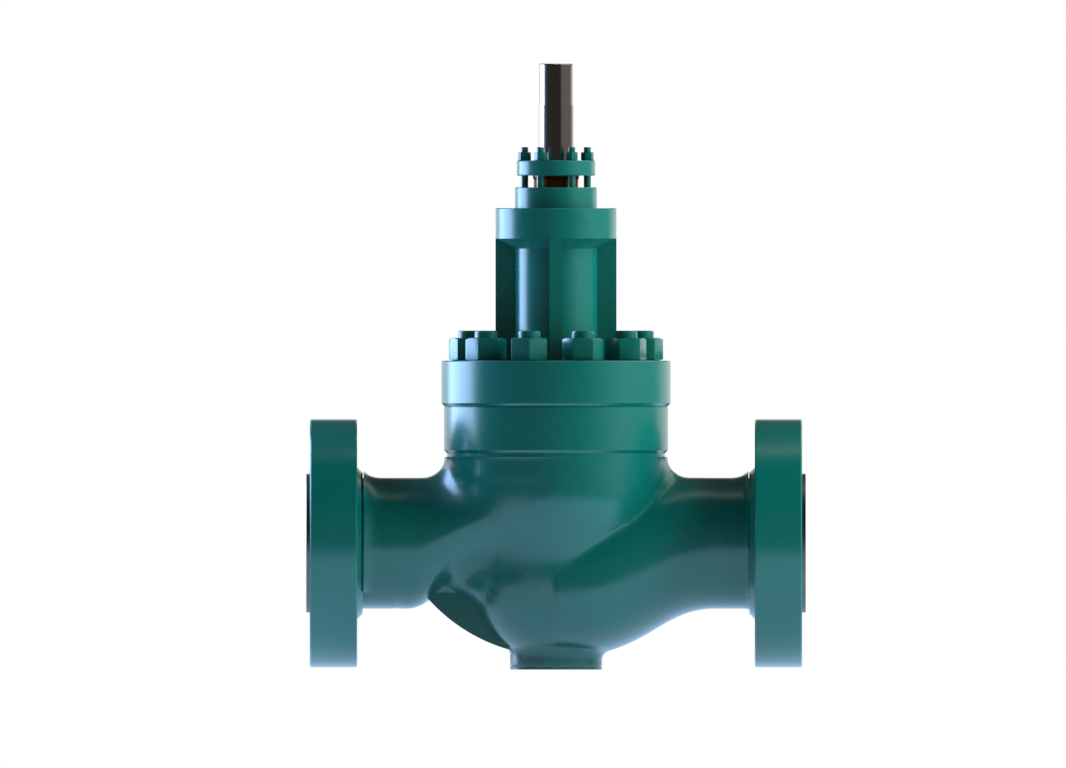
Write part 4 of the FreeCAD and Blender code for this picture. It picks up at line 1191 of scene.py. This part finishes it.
@dataclass
class Studio:
    """Pale floor, soft light and the camera.

    Attributes:
        pixel: Metres of the object that one pixel of the photograph shows.
        image: Pixels of the photograph.
        stem_pixel: Column of the stem axis in the photograph.
        port_pixel: Row of the port axis in the photograph.
        boxes: The lamps.
        painted_sheets: Name, brightness, and degrees around and up of each glowing sheet that only
            reflections see, a painted reflection of shade or light.
        paper: Colour and roughness of the floor.
        painted_reflection_strength: Brightness of the glow that reflections see in the floor, a painted
            reflection.
        painted_reflection_colour: Colour of that painted reflection.
        painted_reflection_reach: How far from the object the painted reflection starts to fade, and where it
            ends.
        shadow_reach: Where the floor starts to run out into white, and where it is white.
        floor_half: Half the floor's side.
        floor_gap: Gap between the floor and the boss.
        ambient: Strength of the world's own light.
        dome_centre: Height of the middle of the dome that the painted sheets lie on.
        dome_radius: Its radius.
        dome_step: Degrees between the folds of the cloths.
        camera_distance: How far the camera stands from the stem axis.
    """

    pixel: float = 1.946 * MM
    image: tuple[int, int] = (1066, 768)
    stem_pixel: float = 556.0
    port_pixel: float = 543.2
    boxes: tuple[SoftBox, ...] = (
        SoftBox("left_box", -112.0, 3.0, (2.4, 4.4), 315.0, "#a1c8ff", True),
        SoftBox("right_box", 77.0, 3.2, (2.4, 4.2), 235.0, "#e6f6ff", False),
    )
    # Painted reflections: the dark sheets paint shade and the right one paints light into what the valve
    # reflects.
    painted_sheets: tuple[tuple[str, float, tuple[int, int], tuple[int, int]], ...] = (
        ("front_cloth", 0.05, (-85, 35), (-5, 25)),
        ("right_cloth", 0.26, (35, 125), (-5, 25)),
        ("top_cloth", 0.0, (-85, 100), (25, 85)),
        ("back_cloth", 0.06, (150, 275), (15, 85)),
    )
    paper: tuple[str, float] = ("#f0f2f4", 0.9)
    painted_reflection_strength: float = 1.6
    painted_reflection_colour: str = "#b2dbff"
    painted_reflection_reach: tuple[float, float] = (1.2, 2.4)
    shadow_reach: tuple[float, float] = (0.6, 1.6)
    floor_half: float = 12.0
    floor_gap: float = 0.5 * MM
    ambient: float = 0.16
    dome_centre: float = 0.5
    dome_radius: float = 4.5
    dome_step: int = 5
    camera_distance: float = 6.0

    def build(self) -> None:
        """Make the floor, the painted reflection sheets, the lamps, the world and the camera."""
        self._floor()
        self._dome()
        for box in self.boxes:
            box.hang()
        self._world()
        self._camera()

    def _floor(self) -> None:
        """Pale floor that the boss stands on, with the object's shadow, running out into plain white.

        Reflections see it without the shadow, as a pale blue glow that is brighter than white near the object
        and fades away from it: a painted reflection.
        """
        def build(work: bmesh.types.BMesh) -> None:
            """Fill a bmesh with one square, a little under the boss."""
            bmesh.ops.create_grid(work, x_segments=1, y_segments=1, size=self.floor_half)
            bmesh.ops.translate(work, verts=work.verts, vec=(0, 0, -self.floor_gap))

        mesh = mesh_from(build, "floor")
        material = plain_material("floor_paper", *self.paper)
        tree = material.node_tree
        glossy = add(tree, "ShaderNodeLightPath").outputs["Is Glossy Ray"]
        place = add(tree, "ShaderNodeTexCoord").outputs["Object"]
        away = add(tree, "ShaderNodeVectorMath", {"operation": "LENGTH"}, i0=place)
        smooth = {"interpolation_type": "SMOOTHSTEP"}
        # Painted reflection: glossy rays see the floor glow pale blue, brighter than white near the object.
        fade = add(tree, "ShaderNodeMapRange", smooth, Value=away.outputs["Value"],
                   From_Min=self.painted_reflection_reach[0], From_Max=self.painted_reflection_reach[1],
                   To_Min=self.painted_reflection_strength, To_Max=0.0)
        glow = add(tree, "ShaderNodeEmission", None, Color=linear(self.painted_reflection_colour),
                   Strength=fade.outputs[0])
        plain = add(tree, "ShaderNodeEmission", None, Color=linear("#ffffff"), Strength=1.0)
        far = add(tree, "ShaderNodeMapRange", smooth, Value=away.outputs["Value"],
                  From_Min=self.shadow_reach[0], From_Max=self.shadow_reach[1], To_Min=0.0, To_Max=1.0)
        seen = add(tree, "ShaderNodeMath", {"operation": "MULTIPLY"}, i0=far.outputs[0],
                   i1=tree.nodes["Light Path"].outputs["Is Camera Ray"])
        lit = add(tree, "ShaderNodeMixShader", None, i0=seen.outputs[0],
                  i1=tree.nodes["Principled BSDF"].outputs[0], i2=plain.outputs[0])
        mixed = add(tree, "ShaderNodeMixShader", None, i0=glossy, i1=lit.outputs[0], i2=glow.outputs[0])
        tree.links.new(mixed.outputs[0], tree.nodes["Material Output"].inputs["Surface"])
        mesh.materials.append(material)
        new_object("floor", mesh)

    def _dome(self) -> None:
        """Glowing sheets around the front and over the top, dark ones and a brighter one on the right, which
        only reflections see: painted reflections of shade and light.
        """
        def place(azimuth: float, elevation: float) -> tuple[float, float, float]:
            """Point of the dome, with azimuth 0 at the camera and 90 on the right."""
            across = self.dome_radius * math.cos(math.radians(elevation))
            return (across * math.sin(math.radians(azimuth)), -across * math.cos(math.radians(azimuth)),
                    self.dome_centre + self.dome_radius * math.sin(math.radians(elevation)))

        step = self.dome_step
        for name, brightness, azimuths, elevations in self.painted_sheets:
            def build(work: bmesh.types.BMesh) -> None:
                """Fill a bmesh with one painted sheet."""
                for azimuth in range(*azimuths, step):
                    for elevation in range(*elevations, step):
                        work.faces.new([work.verts.new(place(*corner)) for corner in (
                            (azimuth, elevation), (azimuth + step, elevation),
                            (azimuth + step, elevation + step), (azimuth, elevation + step))])
                bmesh.ops.remove_doubles(work, verts=work.verts, dist=SEAM_DISTANCE)

            painted_sheet = new_object(name, mesh_from(build, name))
            painted_sheet.data.materials.append(painted_reflection_material(name, brightness))
            # These sheets give no light and no shadow; only reflections see them, as painted shade and
            # painted light.
            for rays in ("camera", "diffuse", "shadow", "transmission"):
                setattr(painted_sheet, "visible_" + rays, False)

    def _world(self) -> None:
        """White where the camera and reflections look, and a soft grey for the light itself."""
        world = bpy.data.worlds.new("studio")
        bpy.context.scene.world = world
        world.use_nodes = True
        tree = world.node_tree
        back = tree.nodes["Background"]
        rays = add(tree, "ShaderNodeLightPath").outputs
        seen = add(tree, "ShaderNodeMath", {"operation": "MAXIMUM"}, i0=rays["Is Camera Ray"],
                   i1=rays["Is Glossy Ray"])
        seen = add(tree, "ShaderNodeMath", {"operation": "MAXIMUM"}, i0=seen.outputs[0],
                   i1=rays["Is Transmission Ray"])
        strength = add(tree, "ShaderNodeMix", {"data_type": "FLOAT"}, i0=seen.outputs[0], i2=self.ambient,
                       i3=1.0)
        tree.links.new(strength.outputs[0], back.inputs["Strength"])
        back.inputs["Color"].default_value = (1.0, 1.0, 1.0, 1.0)

    def _camera(self) -> None:
        """Level camera that looks along +Y with no perspective, as the photograph does."""
        camera = bpy.data.cameras.new("camera")
        camera.type = "ORTHO"
        camera.ortho_scale = self.image[0] * self.pixel
        thing = bpy.data.objects.new("camera", camera)
        bpy.context.scene.collection.objects.link(thing)
        across = (self.image[0] / 2 - self.stem_pixel) * self.pixel
        up = PORT_HEIGHT + (self.port_pixel - self.image[1] / 2) * self.pixel
        thing.location = (across, -self.camera_distance, up)
        thing.rotation_euler = (math.pi / 2, 0.0, 0.0)
        bpy.context.scene.camera = thing
        bpy.context.scene.view_settings.view_transform = "Standard"


def main() -> None:
    """Build the dressed valve piece by piece."""
    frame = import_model()
    Studio().build()
    TurnedPieces().dress(frame)
    BodyCasting().dress(frame)
    RaisedFaces().dress()
    BonnetBolting().dress()
    GlandBolting().dress()


if __name__ == "__main__":
    main()
